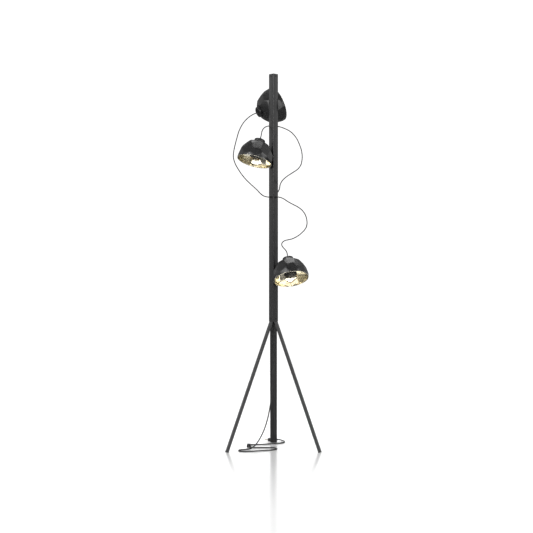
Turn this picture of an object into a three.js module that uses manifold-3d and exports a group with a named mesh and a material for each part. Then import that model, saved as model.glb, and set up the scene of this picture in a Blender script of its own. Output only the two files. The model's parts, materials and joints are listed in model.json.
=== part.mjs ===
// Tripod floor lamp: a three-sided pole on three legs, with three shades held on its faces by magnets.
// Millimetres, +Z up. The pole's axis is vertical, one of its edges looks towards -Y, and the origin
// ends up on the floor, under the middle of the lamp.
import * as THREE from 'three';
import { mergeVertices } from 'three/addons/utils/BufferGeometryUtils.js';
import Module from 'manifold-3d';

const wasm = await Module();
wasm.setup();

// ---- driving dimensions -------------------------------------------------------------------------
const GAP = 0.3;                  // clearance left between pieces that touch

const HEIGHT = 1900;              // floor to the top of the pole
const LEG_JOINT_HEIGHT = 645.5;   // floor to the pole's lower end, where the legs begin
const POLE_SIDE = 51;             // side of the pole's triangle, measured to its sharp corners
const POLE_CORNER = 3.2;          // radius on the pole's three edges
const POLE_WALL = 2;
const CORD_HOLE_HEIGHT = 1276;    // where the head cords enter the pole's faces
const CORD_HOLE_RADIUS = 4.6;

const CAP_PLATE = 3;              // thickness of the pole cap's plate
const CAP_PLUG = 26;              // how far the cap reaches down into the tube
const SCREW_RADIUS = 1.6;
const SCREW_LENGTH = 8;
const SCREW_HEAD_RADIUS = 3.2;
const SCREW_HEAD_HEIGHT = 1.5;
const TOP_SCREW_DROP = 11;        // top screws, below the top of the lamp
const FOOT_SCREW_RISE = 15;       // bottom screws, above the pole's lower end

const LEG_SLOPE = THREE.MathUtils.degToRad(21.5);   // from the vertical
const LEG_WIDTH = 40;
const LEG_WALL = 1.8;
const LEG_CORNER = 0.8;
const HUB_RISE = 34;              // hub inside the pole
const TONGUE_LENGTH = 55;         // hub inside each leg
const PAD_THICKNESS = 3;
const PAD_SPIGOT = 18;

const SHADE_RADIUS = 88.5;        // at the rim
const SHADE_DOME = 113;           // height of the dome's ellipse, which a level top cuts off lower
const SHADE_WALL = 1.2;
const LINER_GAP = 0.4;
const LINER_WALL = 1;
const NECK_RADIUS = 28;           // cap on the dome's level top
const NECK_LEDGE = 6.61;          // how far that top reaches past the cap, all round
const NECK_HEIGHT = 16;
const NECK_WALL = 1.5;
const STEM_RADIUS = 4.6;
const WIRE_RADIUS = 1.6;          // bores that only the thin inner wires pass
const BOSS_RADIUS = 13;
const BOSS_THICKNESS = 5;
const DISC_RADIUS = 32;
const DISC_DEPTH = 27;            // rim to the disc's face, inside the shade
const DISC_THICKNESS = 8;
const LED_RING_INNER = 16;
const LED_RING_OUTER = 28;
const LED_RING_THICKNESS = 2;

const MAGNET_RADIUS = 14;
const MAGNET_THICKNESS = 2.5;
const MAGNET_ACROSS = -5;         // off the middle of the pole's face
const MOUNT_POINT = 48;           // height on the shade's wall, from the rim, of the magnet's stud
const STUD_RADIUS = 3;
const RIVET_RADIUS = 5.5;
const RIVET_THICKNESS = 1.8;
const RIVET_PLAY = 1.1;           // under the rivet's head, so that the shade can turn

const HEAD_CORD_DIAMETER = 5;
const MAINS_CORD_DIAMETER = 6;
const GLAND_TAPER = 8;            // soft sleeve on each head's cord gland
const MAINS_SLEEVE = 40;          // tapered strain relief under the hub

const DRIVER = { room: 3.86, depth: 13, length: 160, height: 900 };      // room: left on both sides
const TERMINALS = { room: 7, depth: 11, length: 34, height: 1180 };

const SWITCH = { x: -126.5, y: 92, length: 48, width: 21, base: 6, top: 13.5, collar: 7, collarRadius: 4.5 };
const ROCKER = { length: 15, width: 9, thickness: 5.5, tilt: THREE.MathUtils.degToRad(6), proud: 1.6 };

const PLUG = { x: 4, y: 338, length: 34, width: 26, throat: 13, thickness: 14, sleeve: 20 };
const PIN = { radius: 2, length: 19, spacing: 18.6, socket: 6 };

// Heads: which face of the pole, how high the stud is, and how far the shade is turned about it.
const FACES = { back: 90, left: 210, right: 330 };
const HEADS = [
  { name: 'top', face: 'back', height: HEIGHT - 150, turn: -114.5 },
  { name: 'mid', face: 'left', height: HEIGHT - 428, turn: 7.4 },
  { name: 'low', face: 'right', height: LEG_JOINT_HEIGHT + 233.5, turn: -19.6 },
];

// Cord routes, from the pole's axis and the floor. Each head cord is in two stretches: from the pole
// to a halfway point, and from there to the gland on its shade.
const TOP_CORD_LOWER = [
  [-14.9, -8.6, 1276], [-31, -17.9, 1276.3], [-49, -32, 1281], [-65, -43, 1292], [-84, -49, 1312],
  [-109, -39, 1335], [-135, -18, 1360], [-160, 4, 1390], [-180, 19, 1420], [-196, 27, 1450],
  [-204, 28, 1481], [-201, 24, 1515], [-193, 20, 1550], [-185, 20.5, 1580],
];
const MID_CORD_LOWER = [
  [0, 17.2, 1276], [0.8, 33, 1277], [9, 44.5, 1287], [22, 42.5, 1302], [30.5, 33.5, 1320],
  [34, 21, 1340], [45, 8, 1360], [67, -3, 1380], [98, -13, 1400], [125, -18.5, 1419], [139, -17.5, 1440],
  [144, -13, 1461], [145.5, -5, 1482], [143.5, 4, 1504], [139, 12, 1524], [132, 21, 1544],
];
const LOW_CORD_LOWER = [
  [14.9, -8.6, 1276], [31, -18.2, 1275], [50, -36, 1267], [74, -54.5, 1251], [99, -65, 1237],
  [122, -65, 1225], [139, -58, 1213], [151.5, -47, 1200], [160, -33, 1187], [166, -17, 1172],
  [169.5, 1, 1157], [170.5, 18, 1141],
];
const TOP_CORD_UPPER = [
  [-184.9, 20.5, 1580.3], [-177, 25, 1608], [-166, 33, 1634], [-152, 41, 1657.5], [-136, 47.5, 1676],
  [-119, 53.5, 1690.5], [-104.1, 59.1, 1700.3], [-91.3, 64.3, 1706.1],
];
const MID_CORD_UPPER = [
  [131.9, 21.1, 1544.3], [124.5, 30, 1562], [115, 39, 1580], [102, 47.5, 1597], [87, 54, 1611.5],
  [68, 59.5, 1623], [45, 64, 1633], [22, 62, 1639.5], [0, 54, 1641.5], [-20, 41, 1640], [-37, 25, 1635],
  [-49, 11, 1626], [-56, 1, 1615], [-59.5, -6.5, 1603.5], [-61.4, -11.8, 1590.9], [-65, -16, 1576.9],
];
const LOW_CORD_UPPER = [
  [170.4, 18.6, 1140.3], [167, 33, 1125], [158, 44.5, 1110], [145, 53.5, 1096.5], [129, 59.5, 1083],
  [112, 62, 1072.5], [95, 62.5, 1065], [77, 61.5, 1060.5], [61, 58.5, 1057], [49, 52.5, 1050.5],
  [42.5, 44, 1041], [43, 34.5, 1030.5], [49, 25.5, 1021], [57, 17, 1012.5], [64.5, 8.5, 1003],
  [68.8, 1, 992], [70.9, -5.7, 978.7],
];
const MAINS_CORD_TO_SWITCH = [
  [0, 0, 605.2], [0, -0.5, 585], [-0.5, -2.5, 545], [-1, -5, 500], [-1.5, -8, 450], [-2, -10, 400],
  [-3.5, -11, 345], [-7, -11.5, 295], [-12, -11.5, 250], [-18, -11, 212], [-25.5, -10.5, 172],
  [-35, -11, 135], [-47, -12.5, 100], [-62, -15, 67], [-78, -18.5, 40], [-96, -23.5, 18],
  [-117, -30, 5.5], [-138, -38, 3.1], [-158, -49, 3.1], [-171, -65, 3.1], [-174, -86, 3.1],
  [-165, -107, 3.1], [-146, -119, 3.1], [-122, -117, 3.1], [-97, -106, 3.1], [-69, -92, 3.1],
  [-40, -79, 3.1], [-12, -64, 3.1], [8, -44, 3.1], [17, -18, 3.1], [12, 9, 3.1], [-7, 28, 3.1],
  [-33, 34.5, 3.1], [-62, 34.5, 3.1], [-86, 33, 3.1], [-104, 34.5, 3.1], [-117, 40.5, 3.3],
  [-124.5, 48.5, 3.8], [-126.5, 54.6, 4.3], [-126.5, 60.5, 4.5],
];
const MAINS_CORD_TO_PLUG = [
  [-126.5, 123.5, 4.5], [-126.5, 129.4, 4.3], [-124, 137, 3.8], [-114, 148.5, 3.2], [-95, 156.5, 3.1], [-72, 161.5, 3.1],
  [-46, 171, 3.1], [-20, 184, 3.1], [7, 197, 3.1], [31, 212, 3.1], [48, 233, 3.1], [55.5, 258, 3.1],
  [57, 284, 3.1], [54, 308, 3.2], [45, 326, 4.2],
  [35, 335, 5.8], [29.5, 337.8, 6.8], [24.5, 338, 7],
];

// ---- materials ----------------------------------------------------------------------------------
function finish(color, roughness, metalness) {
  return () => new THREE.MeshStandardMaterial({ color, roughness, metalness });
}
const powderCoat = finish(0x2c2c2d, 0.55, 0.2);
const legCoat = finish(0x4a4a4b, 0.5, 0.3);
const shadeBlack = finish(0x222223, 0.5, 0.3);
const champagneGold = finish(0xd9c79a, 0.25, 1);
const blackPlastic = finish(0x161617, 0.5, 0);
const blackRubber = finish(0x1a1a1a, 0.85, 0);
const blackScrew = finish(0x101011, 0.4, 0.8);
const nickel = finish(0xb9bcc0, 0.25, 1);
const diffuserWhite = finish(0xf4efe2, 0.5, 0);
const greyCase = finish(0xd8d8d6, 0.6, 0);
const whitePlastic = finish(0xe8e6df, 0.5, 0);

// ---- solids, joins and cuts ---------------------------------------------------------------------
function toSolid(geometry) {
  const bare = geometry.clone();
  bare.deleteAttribute('normal');
  bare.deleteAttribute('uv');
  const merged = mergeVertices(bare, 1e-4);
  return new wasm.Manifold(new wasm.Mesh({
    numProp: 3,
    vertProperties: new Float32Array(merged.attributes.position.array),
    triVerts: new Uint32Array(merged.index.array),
  }));
}

function toGeometry(solid) {
  const mesh = solid.getMesh();
  const geometry = new THREE.BufferGeometry();
  geometry.setAttribute('position', new THREE.BufferAttribute(mesh.vertProperties, 3));
  geometry.setIndex(new THREE.BufferAttribute(mesh.triVerts, 1));
  geometry.computeVertexNormals();
  return geometry;
}

function cut(body, ...tools) {
  return toGeometry(tools.reduce((rest, tool) => rest.subtract(toSolid(tool)), toSolid(body)));
}

function join(...pieces) {
  return toGeometry(pieces.slice(1).reduce((sum, piece) => sum.add(toSolid(piece)), toSolid(pieces[0])));
}

function within(body, region) {
  return toGeometry(toSolid(body).intersect(toSolid(region)));
}

// ---- outlines and simple shapes -----------------------------------------------------------------
// A closed outline with every corner rounded to the same radius, or to its own.
function roundedOutline(corners, radius, steps = 3) {
  const outline = [];
  corners.forEach((corner, i) => {
    const before = corners[(i + corners.length - 1) % corners.length];
    const after = corners[(i + 1) % corners.length];
    const toBefore = before.clone().sub(corner).normalize();
    const toAfter = after.clone().sub(corner).normalize();
    const half = Math.acos(toBefore.dot(toAfter)) / 2;
    const r = Array.isArray(radius) ? radius[i] : radius;
    const centre = toBefore.clone().add(toAfter).normalize().multiplyScalar(r / Math.sin(half)).add(corner);
    const from = toBefore.multiplyScalar(r / Math.tan(half)).add(corner).sub(centre);
    const turn = Math.PI - 2 * half;
    for (let k = 0; k <= steps; k += 1) {
      outline.push(from.clone().rotateAround(new THREE.Vector2(), turn * k / steps).add(centre));
    }
  });
  return outline;
}

function extrude(outline, depth, hole) {
  const shape = new THREE.Shape(outline);
  if (hole) shape.holes.push(new THREE.Path(hole));
  return new THREE.ExtrudeGeometry(shape, { depth, bevelEnabled: false });
}

// The pole's triangle with its walls moved in by an inset. Its edges point to -90, 30 and 150 degrees.
function poleOutline(inset) {
  const toCorner = (POLE_SIDE / Math.sqrt(3)) - 2 * inset;
  const corners = [-90, 30, 150].map((angle) => {
    const a = THREE.MathUtils.degToRad(angle);
    return new THREE.Vector2(toCorner * Math.cos(a), toCorner * Math.sin(a));
  });
  return roundedOutline(corners, Math.max(POLE_CORNER - inset, 0.6));
}
const FACE_RADIUS = POLE_SIDE / (2 * Math.sqrt(3));    // pole axis to each flat face

// A piece turned on a lathe: its profile is a list of [radius, height] pairs, in a closed loop.
function turned(profile, segments, closed = true) {
  const points = profile.map(([r, h]) => new THREE.Vector2(r, h));
  if (closed) points.push(points[0].clone());
  return new THREE.LatheGeometry(points, segments);
}

function rod(radius, from, to, segments = 12) {
  return turned([[0, from], [radius, from], [radius, to], [0, to]], segments, false);
}

function boxBetween(low, high) {
  const size = high.map((value, i) => value - low[i]);
  const box = new THREE.BoxGeometry(...size);
  return box.translate(...low.map((value, i) => value + size[i] / 2));
}

// A shape turned about +Y is laid along +Z.
function alongZ(geometry) {
  return geometry.rotateX(Math.PI / 2);
}

function piece(name, geometry, material) {
  const mesh = new THREE.Mesh(geometry, material());
  mesh.name = name;
  return mesh;
}

// A group on one face of the pole: +X across the face, +Y up, +Z straight out of it.
function onFace(face, height) {
  const angle = THREE.MathUtils.degToRad(FACES[face]);
  const out = new THREE.Vector3(Math.cos(angle), Math.sin(angle), 0);
  const up = new THREE.Vector3(0, 0, 1);
  const basis = new THREE.Matrix4().makeBasis(up.clone().cross(out), up, out);
  const group = new THREE.Group();
  group.quaternion.setFromRotationMatrix(basis);
  group.position.copy(out.multiplyScalar(FACE_RADIUS)).setZ(height);
  return group;
}

// The same shape, made once in a face's own frame, repeated on all three faces as a cutting tool.
function onEveryFace(makeTool, height) {
  return Object.keys(FACES).map((face) => {
    const group = onFace(face, height);
    group.updateMatrix();
    return makeTool().applyMatrix4(group.matrix);
  });
}

// ---- pole ---------------------------------------------------------------------------------------
const TOP_SCREW_HEIGHT = HEIGHT - TOP_SCREW_DROP;
const FOOT_SCREW_HEIGHT = LEG_JOINT_HEIGHT + FOOT_SCREW_RISE;
const TUBE_TOP = HEIGHT - CAP_PLATE - GAP;

function screwHole() {
  return alongZ(rod(SCREW_RADIUS + GAP, -SCREW_LENGTH - GAP, 1, 10));
}

function poleTube() {
  const tube = extrude(poleOutline(0), TUBE_TOP - LEG_JOINT_HEIGHT, poleOutline(POLE_WALL));
  tube.translate(0, 0, LEG_JOINT_HEIGHT);
  const cordHole = () => alongZ(rod(CORD_HOLE_RADIUS, -POLE_WALL - 2, 1, 14));
  return cut(
    tube,
    ...onEveryFace(screwHole, TOP_SCREW_HEIGHT),
    ...onEveryFace(screwHole, FOOT_SCREW_HEIGHT),
    ...onEveryFace(cordHole, CORD_HOLE_HEIGHT),
  );
}

function poleCap() {
  const plate = extrude(poleOutline(0), CAP_PLATE).translate(0, 0, HEIGHT - CAP_PLATE);
  const plug = extrude(poleOutline(POLE_WALL + GAP), CAP_PLUG + 1).translate(0, 0, HEIGHT - CAP_PLATE - CAP_PLUG);
  return cut(join(plate, plug), ...onEveryFace(screwHole, TOP_SCREW_HEIGHT));
}

function screw() {
  const crown = SCREW_HEAD_HEIGHT + GAP;
  return alongZ(turned([
    [0, -SCREW_LENGTH], [SCREW_RADIUS, -SCREW_LENGTH + 1], [SCREW_RADIUS, GAP], [SCREW_HEAD_RADIUS, GAP],
    [SCREW_HEAD_RADIUS, GAP + SCREW_HEAD_HEIGHT / 3], [SCREW_HEAD_RADIUS * 0.7, crown], [0, crown],
  ], 10, false));
}

function screws() {
  const rows = { top: TOP_SCREW_HEIGHT, foot: FOOT_SCREW_HEIGHT };
  return Object.entries(rows).flatMap(([row, height]) => Object.keys(FACES).map((face) => {
    const place = onFace(face, height);
    place.add(piece(`${row}_screw_${face}`, screw(), blackScrew));
    return place;
  }));
}

// A rubber bush in the face's hole: a flange outside, a neck in the hole and a lip inside.
const GROMMET_FLANGE = 2.2;
function grommet() {
  const neck = CORD_HOLE_RADIUS - GAP;
  return alongZ(turned([
    [WIRE_RADIUS, -POLE_WALL - 1.5], [neck - 0.8, -POLE_WALL - 1.5], [neck, -POLE_WALL - 0.6], [neck, GAP],
    [6.6, GAP], [6.2, 1.4], [3.4, GROMMET_FLANGE], [WIRE_RADIUS, GROMMET_FLANGE],
  ], 10));
}

function grommets() {
  return Object.keys(FACES).map((face) => {
    const place = onFace(face, CORD_HOLE_HEIGHT);
    place.add(piece(`cord_grommet_${face}`, grommet(), blackRubber));
    return place;
  });
}

// A slim case whose width leaves the same room to the tube's two inner sides.
function slimBox({ room, depth, length, height }) {
  const toFarEdge = 3 * (FACE_RADIUS - POLE_WALL) - GAP - depth;
  const width = 2 * (toFarEdge * Math.tan(Math.PI / 6) - room);
  const corners = [[-1, -1], [1, -1], [1, 1], [-1, 1]]
    .map(([x, y]) => new THREE.Vector2(x * width / 2, y * depth / 2));
  return extrude(roundedOutline(corners, 1.5, 2), length).translate(0, 0, height);
}

// Driver and terminals lie against the inside of the back face.
function innerParts() {
  const back = FACE_RADIUS - POLE_WALL - GAP;
  const driver = piece('led_driver', slimBox(DRIVER), greyCase);
  driver.position.y = back - DRIVER.depth / 2;
  const terminals = piece('terminal_block', slimBox(TERMINALS), whitePlastic);
  terminals.position.y = back - TERMINALS.depth / 2;
  return [driver, terminals];
}

// ---- legs ---------------------------------------------------------------------------------------
// Section of a leg: a flat outer side on the line y = 0 and two sides that meet behind it, like a
// third of the pole's triangle. An inset moves all three sides inwards.
const LEG_SIDE_ANGLE = THREE.MathUtils.degToRad(30);
function legOutline(inset) {
  const half = LEG_WIDTH / 2 - inset / Math.tan(LEG_SIDE_ANGLE / 2);
  const corners = [
    new THREE.Vector2(half, -inset),
    new THREE.Vector2(-half, -inset),
    new THREE.Vector2(0, -inset - half * Math.tan(LEG_SIDE_ANGLE)),
  ];
  const soft = inset > 0 ? 0.3 : LEG_CORNER;
  return roundedOutline(corners, [soft, soft, soft * 2], 2);
}

// A bar of that section in a face's frame at the pole's lower end, sloping down and out, and cut off
// level at two heights that are measured from that end. Its outer side carries on the pole's face.
function slopingBar(outline, hole, low, high) {
  const start = 60;
  const length = start + (LEG_JOINT_HEIGHT + start) / Math.cos(LEG_SLOPE);
  const bar = extrude(outline, length, hole).translate(0, 0, -start).rotateX(Math.PI / 2 - LEG_SLOPE);
  const far = HEIGHT;
  return within(bar, boxBetween([-far, low, -far], [far, high, far]));
}

const TO_FLOOR = -LEG_JOINT_HEIGHT;
const MAINS_NECK_RADIUS = 4.5;

function leg() {
  const bar = slopingBar(legOutline(0), legOutline(LEG_WALL), TO_FLOOR + PAD_THICKNESS + GAP, -GAP);
  const cordRoom = rod(MAINS_NECK_RADIUS + GAP, -MAINS_SLEEVE, 1).translate(0, 0, -FACE_RADIUS);
  return cut(bar, cordRoom);
}

function footPad() {
  const sole = slopingBar(legOutline(0), null, TO_FLOOR, TO_FLOOR + PAD_THICKNESS);
  const spigotTop = TO_FLOOR + PAD_THICKNESS + PAD_SPIGOT;
  const spigot = slopingBar(legOutline(LEG_WALL + GAP), null, TO_FLOOR + PAD_THICKNESS / 2, spigotTop);
  return join(sole, spigot);
}

function legsAndPads() {
  return Object.keys(FACES).map((face) => {
    const place = onFace(face, LEG_JOINT_HEIGHT);
    place.add(piece(`leg_${face}`, leg(), legCoat), piece(`foot_pad_${face}`, footPad(), blackRubber));
    return place;
  });
}

// The hub: a core inside the pole with a tongue into each leg, and a bore for the mains lead.
function legHub() {
  const core = extrude(poleOutline(POLE_WALL + GAP), HUB_RISE).translate(0, 0, LEG_JOINT_HEIGHT);
  const tongue = () => slopingBar(legOutline(LEG_WALL + GAP), null, -TONGUE_LENGTH, HUB_RISE / 4);
  const below = boxBetween([-HEIGHT, -HEIGHT, 0], [HEIGHT, HEIGHT, LEG_JOINT_HEIGHT]);
  const bore = rod(MAINS_NECK_RADIUS + GAP, -TONGUE_LENGTH - 1, HUB_RISE + 1, 14).rotateX(Math.PI / 2);
  return cut(
    within(join(core, ...onEveryFace(tongue, LEG_JOINT_HEIGHT)), join(core, below)),
    bore.translate(0, 0, LEG_JOINT_HEIGHT),
    ...onEveryFace(screwHole, FOOT_SCREW_HEIGHT),
  );
}

// A neck in the hub's bore and a soft sleeve that tapers down to the cord.
function mainsStrainRelief() {
  const end = MAINS_CORD_DIAMETER / 2 + 0.5;
  return turned([
    [WIRE_RADIUS, -MAINS_SLEEVE], [end, -MAINS_SLEEVE], [MAINS_NECK_RADIUS, -MAINS_SLEEVE / 4],
    [MAINS_NECK_RADIUS, HUB_RISE / 3], [WIRE_RADIUS, HUB_RISE / 3],
  ], 14).rotateX(Math.PI / 2).translate(0, 0, LEG_JOINT_HEIGHT);
}

// ---- heads --------------------------------------------------------------------------------------
// A head is turned about its own axis: height 0 is the rim and the neck cap is at the top.
const SHADE_TOP = SHADE_DOME * Math.sqrt(1 - ((NECK_RADIUS + NECK_LEDGE) / SHADE_RADIUS) ** 2);
const HEAD_HEIGHT = SHADE_TOP + NECK_HEIGHT;
const DOME_SEGMENTS = 24;
const SMALL_SEGMENTS = 14;

// Half an ellipse from the rim up to a level top, with the wall moved in by an inset.
function dome(inset, top) {
  const radius = SHADE_RADIUS - inset;
  const height = SHADE_DOME - inset;
  const end = Math.asin(top / height);
  const steps = 5;
  return Array.from({ length: steps + 1 }, (_, i) => {
    const angle = end * i / steps;
    return [radius * Math.cos(angle), height * Math.sin(angle)];
  });
}

// A dome-shaped wall with a flat top that has a hole for the stem.
function domeWall(inset, wall, top) {
  const hole = STEM_RADIUS + GAP;
  return turned([
    ...dome(inset, top), [hole, top], [hole, top - wall], ...dome(inset + wall, top - wall).reverse(),
  ], DOME_SEGMENTS);
}

const LINER_TOP = SHADE_TOP - SHADE_WALL - GAP;
const GLAND_NECK_RADIUS = 4;

function neckCap() {
  const inner = NECK_RADIUS - NECK_WALL;
  const hole = GLAND_NECK_RADIUS + GAP;
  const foot = SHADE_TOP + GAP;
  return turned([
    [NECK_RADIUS, foot], [NECK_RADIUS, HEAD_HEIGHT - 8], [NECK_RADIUS - 1.5, HEAD_HEIGHT - 3],
    [NECK_RADIUS - 6, HEAD_HEIGHT - 0.4], [hole, HEAD_HEIGHT], [hole, HEAD_HEIGHT - NECK_WALL],
    [inner - 5, HEAD_HEIGHT - NECK_WALL - 0.4], [inner - 1, HEAD_HEIGHT - 4.5],
    [inner, HEAD_HEIGHT - 8.5], [inner, foot],
  ], 16);
}

const GLAND_FOOT = HEAD_HEIGHT - NECK_WALL - 2.5;
const GLAND_TIP = HEAD_HEIGHT + GAP + 2.7 + GLAND_TAPER;
function cordGland() {
  const base = HEAD_HEIGHT + GAP;
  return turned([
    [WIRE_RADIUS, GLAND_FOOT], [GLAND_NECK_RADIUS, GLAND_FOOT], [GLAND_NECK_RADIUS, base], [6.5, base],
    [6.5, base + 2], [4.6, base + 2.7], [HEAD_CORD_DIAMETER / 2 + 0.6, GLAND_TIP], [WIRE_RADIUS, GLAND_TIP],
  ], 10);
}

// The stem clamps liner, shell and cap with its boss, and holds the disc on its lower end.
const DISC_SOCKET = 5;
function stem() {
  const foot = DISC_DEPTH + DISC_THICKNESS - DISC_SOCKET + GAP;
  const bossTop = LINER_TOP - LINER_WALL - GAP;
  return turned([
    [WIRE_RADIUS, foot], [STEM_RADIUS, foot], [STEM_RADIUS, bossTop - BOSS_THICKNESS],
    [BOSS_RADIUS, bossTop - BOSS_THICKNESS], [BOSS_RADIUS, bossTop], [STEM_RADIUS, bossTop],
    [STEM_RADIUS, GLAND_FOOT - GAP], [WIRE_RADIUS, GLAND_FOOT - GAP],
  ], SMALL_SEGMENTS);
}

function ledDisc() {
  const back = DISC_DEPTH + DISC_THICKNESS;
  const socket = STEM_RADIUS + GAP;
  return turned([
    [0, DISC_DEPTH], [DISC_RADIUS, DISC_DEPTH], [DISC_RADIUS, back - 2], [DISC_RADIUS - 1.5, back],
    [socket, back], [socket, back - DISC_SOCKET], [0, back - DISC_SOCKET],
  ], 20, false);
}

function ledRing() {
  const base = DISC_DEPTH + DISC_THICKNESS + GAP;
  return turned([
    [LED_RING_INNER, base], [LED_RING_OUTER, base],
    [LED_RING_OUTER, base + LED_RING_THICKNESS], [LED_RING_INNER, base + LED_RING_THICKNESS],
  ], 16);
}

// The magnet lies flat on the pole's face, and its stud goes through the wall of the shade.
const MAGNET_STACK = GAP + MAGNET_THICKNESS + GAP;
const RIVET_BASE = MAGNET_STACK + SHADE_WALL + LINER_GAP + LINER_WALL + RIVET_PLAY;
function magnetMount() {
  const top = GAP + MAGNET_THICKNESS;
  return alongZ(turned([
    [0, GAP], [MAGNET_RADIUS, GAP], [MAGNET_RADIUS, top - 0.8], [MAGNET_RADIUS - 0.8, top],
    [STUD_RADIUS, top], [STUD_RADIUS, RIVET_BASE], [RIVET_RADIUS, RIVET_BASE],
    [RIVET_RADIUS, RIVET_BASE + RIVET_THICKNESS / 2], [RIVET_RADIUS * 0.7, RIVET_BASE + RIVET_THICKNESS],
    [0, RIVET_BASE + RIVET_THICKNESS],
  ], SMALL_SEGMENTS, false));
}

// The shade leans out just as far as its wall slopes at the stud, so that the wall lies on the magnet.
const MOUNT_RADIUS = SHADE_RADIUS * Math.sqrt(1 - (MOUNT_POINT / SHADE_DOME) ** 2);
const LEAN = Math.atan((SHADE_RADIUS / SHADE_DOME) ** 2 * MOUNT_POINT / MOUNT_RADIUS);

function head({ name, face, height, turn }) {
  const place = onFace(face, height);
  const swivel = new THREE.Group();
  swivel.position.x = MAGNET_ACROSS;
  swivel.rotation.z = THREE.MathUtils.degToRad(turn);
  place.add(swivel);

  const shade = new THREE.Group();
  shade.rotation.x = -LEAN;
  shade.position.y = MOUNT_RADIUS * Math.sin(LEAN) - MOUNT_POINT * Math.cos(LEAN);
  shade.position.z = MAGNET_STACK + MOUNT_POINT * Math.sin(LEAN) + MOUNT_RADIUS * Math.cos(LEAN);
  shade.updateMatrix();
  const headTop = RIVET_BASE + 2 * RIVET_THICKNESS;
  const studHole = alongZ(join(
    rod(STUD_RADIUS + GAP, 0, headTop, 10),
    rod(RIVET_RADIUS + GAP, RIVET_BASE - GAP, headTop, SMALL_SEGMENTS),
  ));
  studHole.applyMatrix4(shade.matrix.clone().invert());

  swivel.add(piece(`${name}_magnet_mount`, magnetMount(), nickel), shade);
  shade.add(
    piece(`${name}_shade`, cut(domeWall(0, SHADE_WALL, SHADE_TOP), studHole), shadeBlack),
    piece(
      `${name}_reflector`,
      cut(domeWall(SHADE_WALL + LINER_GAP, LINER_WALL, LINER_TOP), studHole),
      champagneGold,
    ),
    piece(`${name}_neck_cap`, neckCap(), shadeBlack),
    piece(`${name}_cord_gland`, cordGland(), blackPlastic),
    piece(`${name}_stem`, stem(), blackPlastic),
    piece(`${name}_led_disc`, ledDisc(), powderCoat),
    piece(`${name}_led_ring`, ledRing(), diffuserWhite),
  );
  return place;
}

// ---- foot switch and plug -----------------------------------------------------------------------
function oblong(length, width, radius) {
  return roundedOutline([[-1, -1], [1, -1], [1, 1], [-1, 1]]
    .map(([x, y]) => new THREE.Vector2(x * length / 2, y * width / 2)), radius);
}

function footSwitch() {
  const group = new THREE.Group();
  group.position.set(SWITCH.x, SWITCH.y, 0);
  group.rotation.z = Math.PI / 2;

  const rebate = 1;
  const end = SWITCH.length / 2;
  const collars = [-1, 1].map((side) => rod(SWITCH.collarRadius, end - rebate + GAP, end + SWITCH.collar)
    .rotateZ(-side * Math.PI / 2).translate(0, 0, SWITCH.collarRadius));
  const tray = extrude(oblong(SWITCH.length, SWITCH.width, 5), SWITCH.base);

  const window = oblong(ROCKER.length + 2, ROCKER.width + 1.6, 1).reverse();
  const coverOutline = oblong(SWITCH.length - 2 * rebate, SWITCH.width - 2 * rebate, 4.5);
  const cover = extrude(coverOutline, SWITCH.top - SWITCH.base - GAP, window);
  cover.translate(0, 0, SWITCH.base + GAP);

  const half = ROCKER.length / 2;
  const low = -ROCKER.thickness / 2;
  const sides = [[-half, low], [half, low], [half, -low + 0.9], [0, -low - 0.5], [-half, -low + 0.9]];
  const rocker = extrude(sides.map(([x, y]) => new THREE.Vector2(x, y)), ROCKER.width);
  rocker.translate(0, 0, -ROCKER.width / 2).rotateX(Math.PI / 2);
  const rockerMesh = piece('switch_rocker', rocker, blackPlastic);
  rockerMesh.position.z = SWITCH.top - ROCKER.thickness / 2 + ROCKER.proud / 4;
  rockerMesh.rotation.y = ROCKER.tilt;

  group.add(
    piece('switch_base', join(tray, ...collars), blackPlastic),
    piece('switch_cover', cover, blackPlastic),
    rockerMesh,
  );
  return group;
}

function plug() {
  const group = new THREE.Group();
  group.position.set(PLUG.x, PLUG.y, 0);
  group.rotation.z = Math.PI;

  const halfWidth = PLUG.width / 2;
  const halfThroat = PLUG.throat / 2;
  const shoulder = PLUG.length * 0.45;
  const mid = PLUG.thickness / 2;
  const outline = roundedOutline([
    [0, -halfThroat], [shoulder, -halfWidth], [PLUG.length, -halfWidth],
    [PLUG.length, halfWidth], [shoulder, halfWidth], [0, halfThroat],
  ].map(([x, y]) => new THREE.Vector2(x, y)), 2.5);
  const sleeve = turned([[0, -2], [5.6, -2], [MAINS_CORD_DIAMETER / 2 + 0.5, PLUG.sleeve], [0, PLUG.sleeve]], 12, false);
  sleeve.rotateZ(Math.PI / 2).translate(0, 0, mid);

  const pinStart = PLUG.length - PIN.socket;
  const pinRows = [-1, 1].map((side) => side * PIN.spacing / 2);
  const along = (geometry, y) => geometry.rotateZ(-Math.PI / 2).translate(0, y, mid);
  const sockets = pinRows.map((y) => along(rod(PIN.radius + GAP, pinStart, PLUG.length + 1, 10), y));
  const tip = PLUG.length + PIN.length;
  const pin = () => turned([
    [0, pinStart + GAP], [PIN.radius, pinStart + GAP], [PIN.radius, tip - 1.2], [PIN.radius * 0.5, tip], [0, tip],
  ], 10, false);

  group.add(
    piece('plug_body', cut(join(extrude(outline, PLUG.thickness), sleeve), ...sockets), blackPlastic),
    piece('plug_pin_front', along(pin(), pinRows[1]), nickel),
    piece('plug_pin_rear', along(pin(), pinRows[0]), nickel),
  );
  return group;
}

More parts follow.
